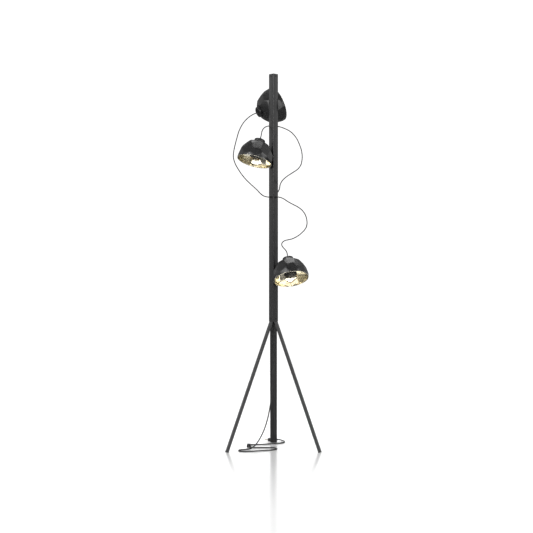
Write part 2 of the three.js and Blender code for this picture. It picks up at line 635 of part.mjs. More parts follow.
// ---- cords --------------------------------------------------------------------------------------
function cord(name, route, diameter, step) {
  const curve = new THREE.CatmullRomCurve3(route.map((point) => new THREE.Vector3(...point)));
  const section = Array.from({ length: 8 }, (_, i) => new THREE.Vector2(diameter / 2, 0)
    .rotateAround(new THREE.Vector2(), i * Math.PI / 4));
  const steps = Math.round(curve.getLength() / step);
  const tube = new THREE.ExtrudeGeometry(new THREE.Shape(section), {
    steps, bevelEnabled: false, extrudePath: curve,
  });
  return piece(name, tube, blackRubber);
}

const cords = [
  cord('top_cord_lower', TOP_CORD_LOWER, HEAD_CORD_DIAMETER, 15),
  cord('top_cord_upper', TOP_CORD_UPPER, HEAD_CORD_DIAMETER, 15),
  cord('mid_cord_lower', MID_CORD_LOWER, HEAD_CORD_DIAMETER, 15),
  cord('mid_cord_upper', MID_CORD_UPPER, HEAD_CORD_DIAMETER, 15),
  cord('low_cord_lower', LOW_CORD_LOWER, HEAD_CORD_DIAMETER, 15),
  cord('low_cord_upper', LOW_CORD_UPPER, HEAD_CORD_DIAMETER, 15),
  cord('mains_cord_to_switch', MAINS_CORD_TO_SWITCH, MAINS_CORD_DIAMETER, 20),
  cord('mains_cord_to_plug', MAINS_CORD_TO_PLUG, MAINS_CORD_DIAMETER, 18),
];

// ---- the lamp -----------------------------------------------------------------------------------
const stand = new THREE.Group();
stand.add(
  piece('pole_tube', poleTube(), powderCoat),
  piece('pole_cap', poleCap(), powderCoat),
  ...screws(),
  ...grommets(),
  ...innerParts(),
  piece('leg_hub', legHub(), powderCoat),
  ...legsAndPads(),
  piece('mains_strain_relief', mainsStrainRelief(), blackRubber),
  ...HEADS.map(head),
);

// The origin goes under the middle of everything but the cords and what is on them.
const lamp = new THREE.Group();
lamp.add(stand);
lamp.updateMatrixWorld(true);
const middle = new THREE.Box3().setFromObject(stand, true).getCenter(new THREE.Vector3());
lamp.add(footSwitch(), plug(), ...cords);
lamp.position.set(-middle.x, -middle.y, 0);

export default lamp;
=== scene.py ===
# %% [markdown]
# # A floor lamp on three legs, with beaten shades
# The lamp is a three-sided steel pole on three splayed legs. Three dome-shaped shades sit on its flat
# faces, each held by a magnet, so that they slide and turn. A thin cord runs from the pole to each of
# them, and a mains cord with a foot switch runs down between the legs and over the floor.
#
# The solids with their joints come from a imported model, and this lesson gives them their finished
# surfaces. Everything is in metres, in the model's own frame, and sizes are measured on its solids, so
# nothing has to be fitted by eye.

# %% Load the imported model
import json
import math

import bmesh
import bpy
from mathutils import Matrix, Vector

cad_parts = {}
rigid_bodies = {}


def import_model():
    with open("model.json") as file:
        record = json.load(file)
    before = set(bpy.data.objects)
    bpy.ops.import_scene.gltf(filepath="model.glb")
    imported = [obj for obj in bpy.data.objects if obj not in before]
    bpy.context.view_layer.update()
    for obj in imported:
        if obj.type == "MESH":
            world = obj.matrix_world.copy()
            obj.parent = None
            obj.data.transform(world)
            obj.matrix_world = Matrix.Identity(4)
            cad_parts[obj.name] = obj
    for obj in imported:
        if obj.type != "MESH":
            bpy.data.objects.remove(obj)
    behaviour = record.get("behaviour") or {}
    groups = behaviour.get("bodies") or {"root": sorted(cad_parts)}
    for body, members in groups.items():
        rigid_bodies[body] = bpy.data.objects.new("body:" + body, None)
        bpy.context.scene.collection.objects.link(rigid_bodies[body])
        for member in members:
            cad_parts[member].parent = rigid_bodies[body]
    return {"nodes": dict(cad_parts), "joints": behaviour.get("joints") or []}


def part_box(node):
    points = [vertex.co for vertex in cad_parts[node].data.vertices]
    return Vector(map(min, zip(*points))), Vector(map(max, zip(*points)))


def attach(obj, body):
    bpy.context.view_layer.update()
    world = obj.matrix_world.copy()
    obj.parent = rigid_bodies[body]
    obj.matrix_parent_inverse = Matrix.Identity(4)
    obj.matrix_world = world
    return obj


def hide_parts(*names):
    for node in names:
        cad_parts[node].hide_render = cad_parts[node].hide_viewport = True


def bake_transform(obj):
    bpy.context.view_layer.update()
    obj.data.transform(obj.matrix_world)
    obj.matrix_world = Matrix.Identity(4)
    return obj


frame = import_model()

MM = 0.001
UP = Vector((0, 0, 1))
scene = bpy.context.scene
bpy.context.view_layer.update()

# %% [markdown]
# ## Where the pole stands
# Every route and every face is easiest to describe from the pole's own axis. The sleeve of the mains
# cord is turned about that axis, so the middle of its box lies on it. A box's middle would be wrong for
# the three-sided pole itself, because a triangle isn't centred on its corners' box.

# %% Find the pole's axis
def middle(node):
    """The middle of a solid's box."""
    low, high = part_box(node)
    return (low + high) / 2


pole_axis = middle("mains_strain_relief")
pole_axis.z = 0
print("pole axis at", [round(c, 4) for c in pole_axis])

# %% [markdown]
# ## The camera
# A long lens from eight metres away keeps the pole's edges nearly parallel, as a product view does. The
# camera stays level and looks down on the feet by a small shift of the frame instead of a tilt, which
# keeps uprights upright.

# %% Place the camera
CAMERA_FROM_POLE = Vector((0.0168, -8.022, 1.0231))
CAMERA_TURN = 0.0065   # radians, to the left
SENSOR_WIDTH = 36
LENS = 106.94          # on that sensor, in millimetres
FRAME_SHIFT = -0.0365  # down, as a share of the frame

camera_data = bpy.data.cameras.new("view")
camera_data.lens = LENS
camera_data.sensor_width = SENSOR_WIDTH
camera_data.shift_y = FRAME_SHIFT
camera = bpy.data.objects.new("view", camera_data)
camera.location = pole_axis + CAMERA_FROM_POLE
camera.rotation_euler = (math.pi / 2, 0, CAMERA_TURN)
scene.collection.objects.link(camera)
scene.camera = camera
print("the camera stands", round(camera.location.length, 2), "m from the lamp's middle")

# %% [markdown]
# ## Nodes with one helper
# Materials and Geometry Nodes are both trees of nodes. One small function adds a node, sets its options
# and fills or links its inputs, so that each tree below reads like a list. Colours are written as the
# sRGB hex values that a paint chart gives, and shaders work in linear light, so one function converts.

# %% Write the helpers for trees and colours
def add(tree, kind, inputs=None, **options):
    """Adds a node. An input may be a value or another node's output, by name or by number."""
    node = tree.nodes.new(kind)
    for name, value in options.items():
        setattr(node, name, value)
    for key, value in (inputs or {}).items():
        if isinstance(value, bpy.types.NodeSocket):
            tree.links.new(value, node.inputs[key])
        else:
            node.inputs[key].default_value = value
    return node


def linear(hex_colour):
    """An sRGB hex colour as linear RGBA."""
    channels = [int(hex_colour[i:i + 2], 16) / 255 for i in (1, 3, 5)]
    return [c / 12.92 if c <= 0.04045 else ((c + 0.055) / 1.055) ** 2.4 for c in channels] + [1]


print("mid grey #808080 is", round(linear("#808080")[0], 3), "in linear light")

# %% [markdown]
# ## What every finish has in common
# A real surface is never even: its colour drifts a little, and its gloss drifts more, because of
# handling, polishing or the way a coat flowed out. So each finish gets a slow noise that shifts colour
# and roughness, and a fine noise that lifts and lowers the surface. The noises read Object coordinates,
# in metres, so their scale is one over a real size.

# %% Write the helper for a finish
def finish(name, light, dark, gloss, grain, depth, patch=0.03, constants=None, stretch=(1, 1, 1)):
    """A material: colour between two hex values, roughness between the two of gloss, and a grain."""
    material = bpy.data.materials.new(name)
    material.use_nodes = True
    tree = material.node_tree
    shader = tree.nodes["Principled BSDF"]
    for socket, value in (constants or {}).items():
        shader.inputs[socket].default_value = value
    place = add(tree, "ShaderNodeTexCoord").outputs["Object"]
    place = add(tree, "ShaderNodeMapping", {"Vector": place, "Scale": stretch}).outputs[0]
    slow = add(tree, "ShaderNodeTexNoise", {"Vector": place, "Scale": 1 / patch, "Detail": 4})
    fine = add(tree, "ShaderNodeTexNoise", {"Vector": place, "Scale": 1 / grain, "Detail": 2})
    mixed = add(tree, "ShaderNodeMix", {0: slow.outputs[0], 6: linear(light), 7: linear(dark)},
                data_type="RGBA")
    rough = add(tree, "ShaderNodeMapRange", {0: slow.outputs[0], 1: 0.3, 2: 0.7, 3: gloss[0], 4: gloss[1]})
    bump = add(tree, "ShaderNodeBump", {"Height": fine.outputs[0], "Distance": depth, "Strength": 1})
    tree.links.new(mixed.outputs[2], shader.inputs["Base Color"])
    tree.links.new(rough.outputs[0], shader.inputs["Roughness"])
    tree.links.new(bump.outputs[0], shader.inputs["Normal"])
    return material


print("a finish is drawn from two noises")

# %% [markdown]
# ## Cords
# Each cord's route is a list of points that was chosen when the solids were made, because a cord
# doesn't follow a rule: it lies as it was left. The points are metres from the pole's axis and the floor.
# A Catmull-Rom curve goes smoothly through all of them. A head's cord has two stretches, a lower one from
# the pole and an upper one to the head.

# %% List the cords' routes
TOP_CORD_LOWER = [
    (-0.0149, -0.0086, 1.276), (-0.031, -0.0179, 1.2763), (-0.049, -0.032, 1.281),
    (-0.065, -0.043, 1.292), (-0.084, -0.049, 1.312), (-0.109, -0.039, 1.335),
    (-0.135, -0.018, 1.36), (-0.16, 0.004, 1.39), (-0.18, 0.019, 1.42), (-0.196, 0.027, 1.45),
    (-0.204, 0.028, 1.481), (-0.201, 0.024, 1.515), (-0.193, 0.02, 1.55), (-0.185, 0.0205, 1.58),
]
MID_CORD_LOWER = [
    (0, 0.0172, 1.276), (0.0008, 0.033, 1.277), (0.009, 0.0445, 1.287), (0.022, 0.0425, 1.302),
    (0.0305, 0.0335, 1.32), (0.034, 0.021, 1.34), (0.045, 0.008, 1.36), (0.067, -0.003, 1.38),
    (0.098, -0.013, 1.4), (0.125, -0.0185, 1.419), (0.139, -0.0175, 1.44), (0.144, -0.013, 1.461),
    (0.1455, -0.005, 1.482), (0.1435, 0.004, 1.504), (0.139, 0.012, 1.524), (0.132, 0.021, 1.544),
]
LOW_CORD_LOWER = [
    (0.0149, -0.0086, 1.276), (0.031, -0.0182, 1.275), (0.05, -0.036, 1.267),
    (0.074, -0.0545, 1.251), (0.099, -0.065, 1.237), (0.122, -0.065, 1.225), (0.139, -0.058, 1.213),
    (0.1515, -0.047, 1.2), (0.16, -0.033, 1.187), (0.166, -0.017, 1.172), (0.1695, 0.001, 1.157),
    (0.1705, 0.018, 1.141),
]
TOP_CORD_UPPER = [
    (-0.1849, 0.0205, 1.5803), (-0.177, 0.025, 1.608), (-0.166, 0.033, 1.634),
    (-0.152, 0.041, 1.6575), (-0.136, 0.0475, 1.676), (-0.119, 0.0535, 1.6905),
    (-0.1041, 0.0591, 1.7003), (-0.0913, 0.0643, 1.7061),
]
MID_CORD_UPPER = [
    (0.1319, 0.0211, 1.5443), (0.1245, 0.03, 1.562), (0.115, 0.039, 1.58), (0.102, 0.0475, 1.597),
    (0.087, 0.054, 1.6115), (0.068, 0.0595, 1.623), (0.045, 0.064, 1.633), (0.022, 0.062, 1.6395),
    (0, 0.054, 1.6415), (-0.02, 0.041, 1.64), (-0.037, 0.025, 1.635), (-0.049, 0.011, 1.626),
    (-0.056, 0.001, 1.615), (-0.0595, -0.0065, 1.6035), (-0.0614, -0.0118, 1.5909),
    (-0.065, -0.016, 1.5769),
]
LOW_CORD_UPPER = [
    (0.1704, 0.0186, 1.1403), (0.167, 0.033, 1.125), (0.158, 0.0445, 1.11), (0.145, 0.0535, 1.0965),
    (0.129, 0.0595, 1.083), (0.112, 0.062, 1.0725), (0.095, 0.0625, 1.065), (0.077, 0.0615, 1.0605),
    (0.061, 0.0585, 1.057), (0.049, 0.0525, 1.0505), (0.0425, 0.044, 1.041),
    (0.043, 0.0345, 1.0305), (0.049, 0.0255, 1.021), (0.057, 0.017, 1.0125),
    (0.0645, 0.0085, 1.003), (0.0688, 0.001, 0.992), (0.0709, -0.0057, 0.9787),
]
MAINS_CORD_TO_SWITCH = [
    (0, 0, 0.6052), (0, -0.0005, 0.585), (-0.0005, -0.0025, 0.545), (-0.001, -0.005, 0.5),
    (-0.0015, -0.008, 0.45), (-0.002, -0.01, 0.4), (-0.0035, -0.011, 0.345),
    (-0.007, -0.0115, 0.295), (-0.012, -0.0115, 0.25), (-0.018, -0.011, 0.212),
    (-0.0255, -0.0105, 0.172), (-0.035, -0.011, 0.135), (-0.047, -0.0125, 0.1),
    (-0.062, -0.015, 0.067), (-0.078, -0.0185, 0.04), (-0.096, -0.0235, 0.018),
    (-0.117, -0.03, 0.0055), (-0.138, -0.038, 0.0031), (-0.158, -0.049, 0.0031),
    (-0.171, -0.065, 0.0031), (-0.174, -0.086, 0.0031), (-0.165, -0.107, 0.0031),
    (-0.146, -0.119, 0.0031), (-0.122, -0.117, 0.0031), (-0.097, -0.106, 0.0031),
    (-0.069, -0.092, 0.0031), (-0.04, -0.079, 0.0031), (-0.012, -0.064, 0.0031),
    (0.008, -0.044, 0.0031), (0.017, -0.018, 0.0031), (0.012, 0.009, 0.0031),
    (-0.007, 0.028, 0.0031), (-0.033, 0.0345, 0.0031), (-0.062, 0.0345, 0.0031),
    (-0.086, 0.033, 0.0031), (-0.104, 0.0345, 0.0031), (-0.117, 0.0405, 0.0033),
    (-0.1245, 0.0485, 0.0038), (-0.1265, 0.0546, 0.0043), (-0.1265, 0.0605, 0.0045),
]
MAINS_CORD_TO_PLUG = [
    (-0.1265, 0.1235, 0.0045), (-0.1265, 0.1294, 0.0043), (-0.124, 0.137, 0.0038),
    (-0.114, 0.1485, 0.0032), (-0.095, 0.1565, 0.0031), (-0.072, 0.1615, 0.0031),
    (-0.046, 0.171, 0.0031), (-0.02, 0.184, 0.0031), (0.007, 0.197, 0.0031), (0.031, 0.212, 0.0031),
    (0.048, 0.233, 0.0031), (0.0555, 0.258, 0.0031), (0.057, 0.284, 0.0031), (0.054, 0.308, 0.0032),
    (0.045, 0.326, 0.0042), (0.035, 0.335, 0.0058), (0.0295, 0.3378, 0.0068),
    (0.0245, 0.338, 0.007),
]

# %% [markdown]
# A mesh tube is swept along the curve. Its ring of points is carried from step to step by the smallest
# turn that keeps it square to the path, so the tube never twists, and its UV map runs round the cord and
# along it, for patterns that follow the cord.

# %% Write the helpers that make a curve and a tube
def smooth_path(points, spacing=0.004):
    """Points on the centripetal Catmull-Rom curve through the given ones, from the pole's axis."""
    given = [Vector(p) + pole_axis for p in points]
    given = [2 * given[0] - given[1], *given, 2 * given[-1] - given[-2]]
    path = []
    for before, start, end, after in zip(given, given[1:], given[2:], given[3:]):
        a, b, c = ((q - p).length ** 0.5 for p, q in ((before, start), (start, end), (end, after)))
        leave = ((start - before) / a - (end - before) / (a + b) + (end - start) / b) * b
        arrive = ((end - start) / b - (after - start) / (b + c) + (after - end) / c) * b
        steps = max(2, round((end - start).length / spacing))
        for t in (i / steps for i in range(steps)):
            path.append(
                start * (2 * t**3 - 3 * t**2 + 1) + end * (3 * t**2 - 2 * t**3)
                + leave * (t**3 - 2 * t**2 + t) + arrive * (t**3 - t**2)
            )
    return path + [given[-2]]


def length_of(path):
    """The length of a path along its points."""
    return sum((q - p).length for p, q in zip(path, path[1:]))


def mesh_object(name, vertices, faces, material, uv=None):
    """A shown mesh with its faces turned outwards and soft shading that keeps sharp edges."""
    mesh = bpy.data.meshes.new(name)
    mesh.from_pydata([tuple(v) for v in vertices], [], faces)
    if uv:
        layer = mesh.uv_layers.new(name="UVMap")
        layer.data.foreach_set("uv", [c for face in uv for corner in face for c in corner])
    return finish_mesh(name, mesh, material)


SHARP = math.radians(38)


def finish_mesh(name, mesh, material):
    """An object of a mesh that is merged, faces outwards and keeps its sharp edges."""
    tidy = bmesh.new()
    tidy.from_mesh(mesh)
    bmesh.ops.remove_doubles(tidy, verts=tidy.verts, dist=1e-7)
    bmesh.ops.recalc_face_normals(tidy, faces=tidy.faces)
    tidy.to_mesh(mesh)
    tidy.free()
    mesh.shade_smooth()
    mesh.set_sharp_from_angle(angle=SHARP)
    mesh.materials.clear()
    mesh.materials.append(material)
    thing = bpy.data.objects.new(name, mesh)
    scene.collection.objects.link(thing)
    return thing


def tube(name, path, radius, material, sides=16):
    """A round tube along a path, closed at its ends."""
    ways = [(b - a).normalized() for a, b in zip([path[0], *path], [path[1], *path[1:]])]
    ways = [(a + b).normalized() for a, b in zip(ways, ways[1:] + ways[-1:])]
    side = ways[0].orthogonal().normalized()
    vertices, along, run = [], [], 0
    for i, (point, way) in enumerate(zip(path, ways)):
        run += (point - path[i - 1]).length if i else 0
        along.append(run)
        side = (side - way * side.dot(way)).normalized()
        for turn in range(sides):
            vertices.append(point + (Matrix.Rotation(math.tau * turn / sides, 3, way) @ side) * radius)
    faces, uv = [], []
    for i in range(len(path) - 1):
        for k in range(sides):
            m = (k + 1) % sides
            faces.append((i * sides + k, i * sides + m, (i + 1) * sides + m, (i + 1) * sides + k))
            left, right = k / sides, (k + 1) / sides
            uv.append([(left, along[i]), (right, along[i]), (right, along[i + 1]), (left, along[i + 1])])
    for start in (0, (len(path) - 1) * sides):
        faces.append(tuple(range(start, start + sides)))
        uv.append([(0, along[0 if start == 0 else -1])] * sides)
    return mesh_object(name, vertices, faces, material, uv)


print("the mains cord's last stretch is", round(length_of(smooth_path(MAINS_CORD_TO_PLUG)), 3), "m long")

# %% [markdown]
# ## Cord sheath: black PVC
# A lamp's flex is sheathed in soft PVC, extruded round its wires. That gives a smooth matt black with a
# broad, weak shine, and the faint ripple that the extruder leaves. PVC's index of refraction is 1.53.

# %% Make the sheath and lay the cords
pvc_sheath = finish("black_pvc_sheath", "#0c0c0d", "#070708", (0.5, 0.65), 0.8 * MM, 0.03 * MM,
                    constants={"IOR": 1.53})


def own(piece, body, slot, *nodes):
    """Says which body the piece rides on and which solids it stands for; the slot, its finish, is not used.
    """
    if body:
        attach(piece, body)
    if nodes:
        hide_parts(*nodes)
    return piece


HEAD_CORD = 5 * MM
HEAD_CORDS = {
    "top": (TOP_CORD_LOWER, TOP_CORD_UPPER),
    "mid": (MID_CORD_LOWER, MID_CORD_UPPER),
    "low": (LOW_CORD_LOWER, LOW_CORD_UPPER),
}
for head, routes in HEAD_CORDS.items():
    bodies = ["stand", head + "_carriage", head + "_head"]
    for part, route, before, after in zip(("lower", "upper"), routes, bodies, bodies[1:]):
        path = smooth_path(route)
        flex = tube(f"{head}_flex_{part}", path, HEAD_CORD / 2, pvc_sheath)
        own(flex, None, "cord_jacket", f"{head}_cord_{part}")
        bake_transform(flex)
        print(flex.name, "is", round(length_of(path), 3), "m long")

# %% [markdown]
# The mains cord comes out under the hub, hangs between the legs and lies on the floor in one loose loop.
# A foot switch sits on it, so it is two stretches as well: one ends in the switch, and the other starts
# there and ends in the plug. Both belong to the stand and don't bend when a head moves.

# %% Lay the mains cord
MAINS_CORD = 6 * MM


def mains_stretch(name, route, node):
    """One stretch of the mains cord."""
    path = smooth_path(route)
    flex = own(tube(name, path, MAINS_CORD / 2, pvc_sheath), "stand", "cord_jacket", node)
    print(name, "is", round(length_of(path), 3), "m long")

# %% [markdown]
# ## Edges that catch the light
# No real edge is perfectly sharp: folded steel has a small radius, and a coat of powder rounds it more.
# An eased corner is a true arc between two straight runs. The same function eases a flat outline, such
# as the pole's section, and the profile of a turned piece.

# %% Write the helpers for eased outlines and turned pieces
def eased(corners, radius, steps=4, closed=True):
    """The outline with an arc at each corner, or with the radius that each corner has of its own."""
    corners = [Vector(c) for c in corners]
    radii = radius if isinstance(radius, (list, tuple)) else [radius] * len(corners)
    outline = []
    for i, (corner, size) in enumerate(zip(corners, radii)):
        ends = not closed and i in (0, len(corners) - 1)
        back = corners[i - 1] - corner
        on = corners[(i + 1) % len(corners)] - corner
        half = back.angle(on) / 2 if back.length and on.length else 0
        if ends or size <= 0 or half > math.radians(88) or half < math.radians(2):
            outline.append(corner)
            continue
        reach = min(size / math.tan(half), 0.45 * back.length, 0.45 * on.length)
        size = reach * math.tan(half)
        centre = corner + (back.normalized() + on.normalized()).normalized() * size / math.sin(half)
        start, end = corner + back.normalized() * reach - centre, corner + on.normalized() * reach - centre
        sweep = math.pi - 2 * half
        for k in range(steps + 1):
            t = k / steps
            outline.append(centre + (start * math.sin((1 - t) * sweep) + end * math.sin(t * sweep))
                           / math.sin(sweep))
    return outline


def turned_mesh(profile, segments=96, closed=True):
    """Vertices, faces and a UV map of a profile of (radius, height) turned about the upright axis."""
    vertices, rings, run, along = [], [], 0, []
    for i, (radius, height) in enumerate(profile):
        run += (Vector(profile[i]) - Vector(profile[i - 1])).length if i else 0
        along.append(run)
        count = 1 if radius < 1e-6 else segments
        rings.append(range(len(vertices), len(vertices) + count))
        for k in range(count):
            angle = math.tau * k / segments
            vertices.append((radius * math.cos(angle), radius * math.sin(angle), height))
    faces, uv = [], []
    pairs = list(zip(range(len(rings)), range(1, len(rings))))
    if closed:
        pairs.append((len(rings) - 1, 0))
    for a, b in pairs:
        for k in range(segments):
            m = (k + 1) % segments
            face, corner = [], []
            for ring, j in ((a, k), (a, m), (b, m), (b, k)):
                vertex = rings[ring][j % len(rings[ring])]
                if vertex not in face:
                    face.append(vertex)
                    corner.append(((k + (j == m)) / segments, along[ring]))
            if len(face) > 2:
                faces.append(face)
                uv.append(corner)
    return vertices, faces, uv


def turned(name, profile, material, place, segments=96, closed=True):
    """A turned piece, laid along the upright axis of a place."""
    vertices, faces, uv = turned_mesh(profile, segments, closed)
    return mesh_object(name, [place @ Vector(v) for v in vertices], faces, material, uv)


print("an eased square corner has", len(eased([(0, 0), (1, 0), (1, 1), (0, 1)], 0.1)) // 4, "points")

# %% [markdown]
# ## Powder coat
# The pole and legs are steel with a black polyester powder coat. Powder melts into a skin that isn't
# quite level: it has orange peel, dimples about a millimetre apart, and a satin gloss. Black powder is
# never fully black, and the polyester's index of refraction is about 1.5.

# %% Make the powder coat
powder_coat = finish("black_polyester_powder_coat", "#161617", "#0e0e0f", (0.3, 0.38),
                     1.3 * MM, 0.02 * MM, patch=0.08, constants={"IOR": 1.5})

# %% [markdown]
# ## The pole
# The pole is a tube with three equal flat sides, folded from steel sheet, so each edge has the radius of
# the fold. It could be a cylinder with three segments and a bevel, but then the radius isn't exact. Here
# the section is an eased triangle, lofted from one end to the other. The side of the triangle is found
# from the width of the solid, which the round edges make a little less than the side.

# %% Loft the pole and its cap
POLE_EDGE = 3.2 * MM
POLE_WALL = 2 * MM
PLAY = 0.3 * MM             # between pieces that fit together
FACE_ANGLES = {"back": 90, "left": 210, "right": 330}

pole_low, pole_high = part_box("pole_tube")
POLE_SIDE = (pole_high - pole_low).x + 2 * POLE_EDGE * (math.sqrt(3) - 1)
FACE_RADIUS = POLE_SIDE / (2 * math.sqrt(3))


def three_sided(inset, edge):
    """The pole's section, moved in from its faces."""
    reach = 2 * (FACE_RADIUS - inset)
    corners = [Matrix.Rotation(math.radians(a), 2) @ Vector((reach, 0)) for a in (-90, 30, 150)]
    return eased(corners, max(edge - inset, 0.4 * MM), 6)


def loft(rings, closed_ends=True):
    """Vertices and faces through rings of equal length; two open ends are joined into one shell."""
    size = len(rings[0])
    vertices = [v for ring in rings for v in ring]
    faces = []
    for i in range(len(rings) - 1 if closed_ends else len(rings)):
        j = (i + 1) % len(rings)
        for k in range(size):
            m = (k + 1) % size
            faces.append((i * size + k, i * size + m, j * size + m, j * size + k))
    if closed_ends:
        faces += [tuple(range(size)), tuple(range(len(vertices) - size, len(vertices)))]
    return vertices, faces


def upright(outline, height):
    """A flat outline laid level round the pole's axis."""
    return [Vector((p.x, p.y, height)) + pole_axis for p in outline]


outside, inside = three_sided(0, POLE_EDGE), three_sided(POLE_WALL, POLE_EDGE)
walls = [upright(outline, height) for outline, height in (
    (inside, pole_low.z), (outside, pole_low.z), (outside, pole_high.z), (inside, pole_high.z))]
own(mesh_object("pole_of_folded_steel", *loft(walls, closed_ends=False), powder_coat),
    "stand", "pole_coat", "pole_tube")

cap_low, cap_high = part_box("pole_cap")
CAP_EDGE = 0.8 * MM
PLUG_INSET = POLE_WALL + PLAY
cap_seat = pole_high.z + PLAY
plug_outline = three_sided(PLUG_INSET, POLE_EDGE)
cap_rings = [upright(plug_outline, cap_low.z), upright(plug_outline, cap_seat),
             upright(outside, cap_seat), upright(outside, cap_high.z - CAP_EDGE),
             upright(three_sided(0.3 * CAP_EDGE, POLE_EDGE), cap_high.z - 0.3 * CAP_EDGE),
             upright(three_sided(CAP_EDGE, POLE_EDGE), cap_high.z)]
own(mesh_object("pole_end_cap", *loft(cap_rings), powder_coat), "stand", "pole_coat", "pole_cap")
print("pole", round(POLE_SIDE / MM, 1), "mm a side,", round(pole_high.z - pole_low.z, 3), "m long")

# %% [markdown]
# ## The legs
# Each leg carries one face of the pole on, down and out to the floor. Its section is a flat triangle: the
# outer side is as flat and almost as wide as the pole's, and two narrow sides meet in a ridge behind it.
# Both ends are cut level, so a ring of the section is slid along the leg to the height of each cut.

# %% Loft the legs
LEG_WALL = 1.8 * MM
LEG_EDGE = 0.8 * MM
RIDGE = math.radians(30)

joint_height = pole_low.z
back_low, back_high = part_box("leg_back")
back_face = pole_axis.y + FACE_RADIUS
LEG_SLOPE = math.atan2(back_high.y - back_face, joint_height - back_low.z)
LEG_WIDTH = (back_high - back_low).x + 2 * LEG_EDGE * (1 / math.tan(RIDGE / 2) - 1)


def leg_ring(angle, inset, height):
    """The leg's section, moved in from its sides, where the leg passes a height."""
    out = Vector((math.cos(angle), math.sin(angle), 0))
    down = out * math.sin(LEG_SLOPE) - UP * math.cos(LEG_SLOPE)
    square = out * math.cos(LEG_SLOPE) + UP * math.sin(LEG_SLOPE)
    half = LEG_WIDTH / 2 - inset / math.tan(RIDGE / 2)
    corners = [(half, -inset), (-half, -inset), (0, -inset - half * math.tan(RIDGE))]
    soft = [LEG_EDGE, LEG_EDGE, 2 * LEG_EDGE] if inset == 0 else [0.3 * MM] * 3
    start = pole_axis + out * FACE_RADIUS + UP * joint_height
    ring = []
    for x, y in eased(corners, soft, 5):
        point = start + UP.cross(out) * x + square * y
        ring.append(point + down * ((height - point.z) / down.z))
    return ring


for face, degrees in FACE_ANGLES.items():
    low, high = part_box(f"leg_{face}")
    turn = math.radians(degrees)
    rings = [leg_ring(turn, LEG_WALL, low.z), leg_ring(turn, 0, low.z),
             leg_ring(turn, 0, high.z), leg_ring(turn, LEG_WALL, high.z)]
    own(mesh_object(f"{face}_leg_of_folded_steel", *loft(rings, closed_ends=False), powder_coat),
        "stand", "leg_coat", f"leg_{face}")
print("legs slope", round(math.degrees(LEG_SLOPE), 1), "degrees from upright")

# %% [markdown]
# ## Softened copies
# Some solids already have the right shape and only lack the small radius that a mould or a press gives.
# A copy of such a solid is merged, because it comes as loose triangles, its flat sides are made single
# faces again, and a Bevel modifier rounds what is left. The result is kept as a plain mesh.

# %% Write the helper for softened copies
def size_of(node):
    """The size of a solid's box."""
    low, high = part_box(node)
    return high - low


def softened(name, node, width, material, segments=3):
    """A copy of a solid with rounded edges."""
    mesh = frame["nodes"][node].data.copy()
    work = bmesh.new()
    work.from_mesh(mesh)
    bmesh.ops.remove_doubles(work, verts=work.verts, dist=0.01 * MM)
    bmesh.ops.dissolve_limit(work, angle_limit=math.radians(1), verts=work.verts, edges=work.edges)
    work.to_mesh(mesh)
    work.free()
    draft = bpy.data.objects.new(name + "_draft", mesh)
    scene.collection.objects.link(draft)
    bevel = draft.modifiers.new("soft edges", "BEVEL")
    bevel.width, bevel.segments, bevel.limit_method = width, segments, "ANGLE"
    bevel.angle_limit = SHARP
    bevel.harden_normals = False
    shape = kept_mesh(draft)
    return finish_mesh(name, shape, material)


def kept_mesh(draft):
    """The mesh that an object's modifiers make; the object itself is removed."""
    graph = bpy.context.evaluated_depsgraph_get()
    mesh = bpy.data.meshes.new_from_object(draft.evaluated_get(graph), depsgraph=graph)
    bpy.data.objects.remove(draft)
    return mesh


print("edges sharper than", round(math.degrees(SHARP)), "degrees are rounded")

# %% [markdown]
# ## Moulded rubber
# Feet, grommets and strain reliefs are moulded from black rubber. The mould is blasted, which leaves a
# grain of about half a millimetre, and carbon black makes it dull in every direction.

# %% Make the rubber and the foot pads
moulded_rubber = finish("moulded_black_rubber", "#161616", "#0f0f10", (0.72, 0.86), 0.5 * MM, 0.04 * MM,
                        constants={"IOR": 1.52})
for face in FACE_ANGLES:
    node = f"foot_pad_{face}"
    own(softened(f"{face}_rubber_foot", node, 0.6 * MM, moulded_rubber), "stand", "black_rubber", node)
print("three feet, each", round(size_of("foot_pad_back").x / MM, 1), "mm wide")

# %% [markdown]
# ## Screws and grommets
# Small parts that repeat round the pole are laid out by one Geometry Nodes tree. It puts copies of the
# incoming mesh on the three faces, at one height or more, and turns each one to look out of its face.
# Instances would be lost when the model is exported, so the tree realizes them and sets the material.

# %% Build the tree that repeats a part round the pole
def tree_input(tree, name, kind, value=None):
    """Gives a tree a named input."""
    item = tree.interface.new_socket(name, in_out="INPUT", socket_type="NodeSocket" + kind)
    if value is not None:
        item.default_value = value


def run_tree(tree, name, mesh, values):
    """Runs a tree on a mesh, with its inputs given by name, and returns the mesh that it makes."""
    draft = bpy.data.objects.new(name + "_draft", mesh)
    scene.collection.objects.link(draft)
    modifier = draft.modifiers.new("tree", "NODES")
    modifier.node_group = tree
    for item in tree.interface.items_tree:
        if item.item_type == "SOCKET" and item.in_out == "INPUT" and item.name in values:
            modifier[item.identifier] = values[item.name]
    return kept_mesh(draft)


round_tree = bpy.data.node_groups.new("repeat_round_the_pole", "GeometryNodeTree")
for socket in (("Geometry", "Geometry"), ("Face distance", "Float"), ("Height", "Float"),
               ("Rows", "Int", 1), ("Row step", "Float"), ("Middle", "Vector"), ("Material", "Material")):
    tree_input(round_tree, *socket)
round_tree.interface.new_socket("Geometry", in_out="OUTPUT", socket_type="NodeSocketGeometry")

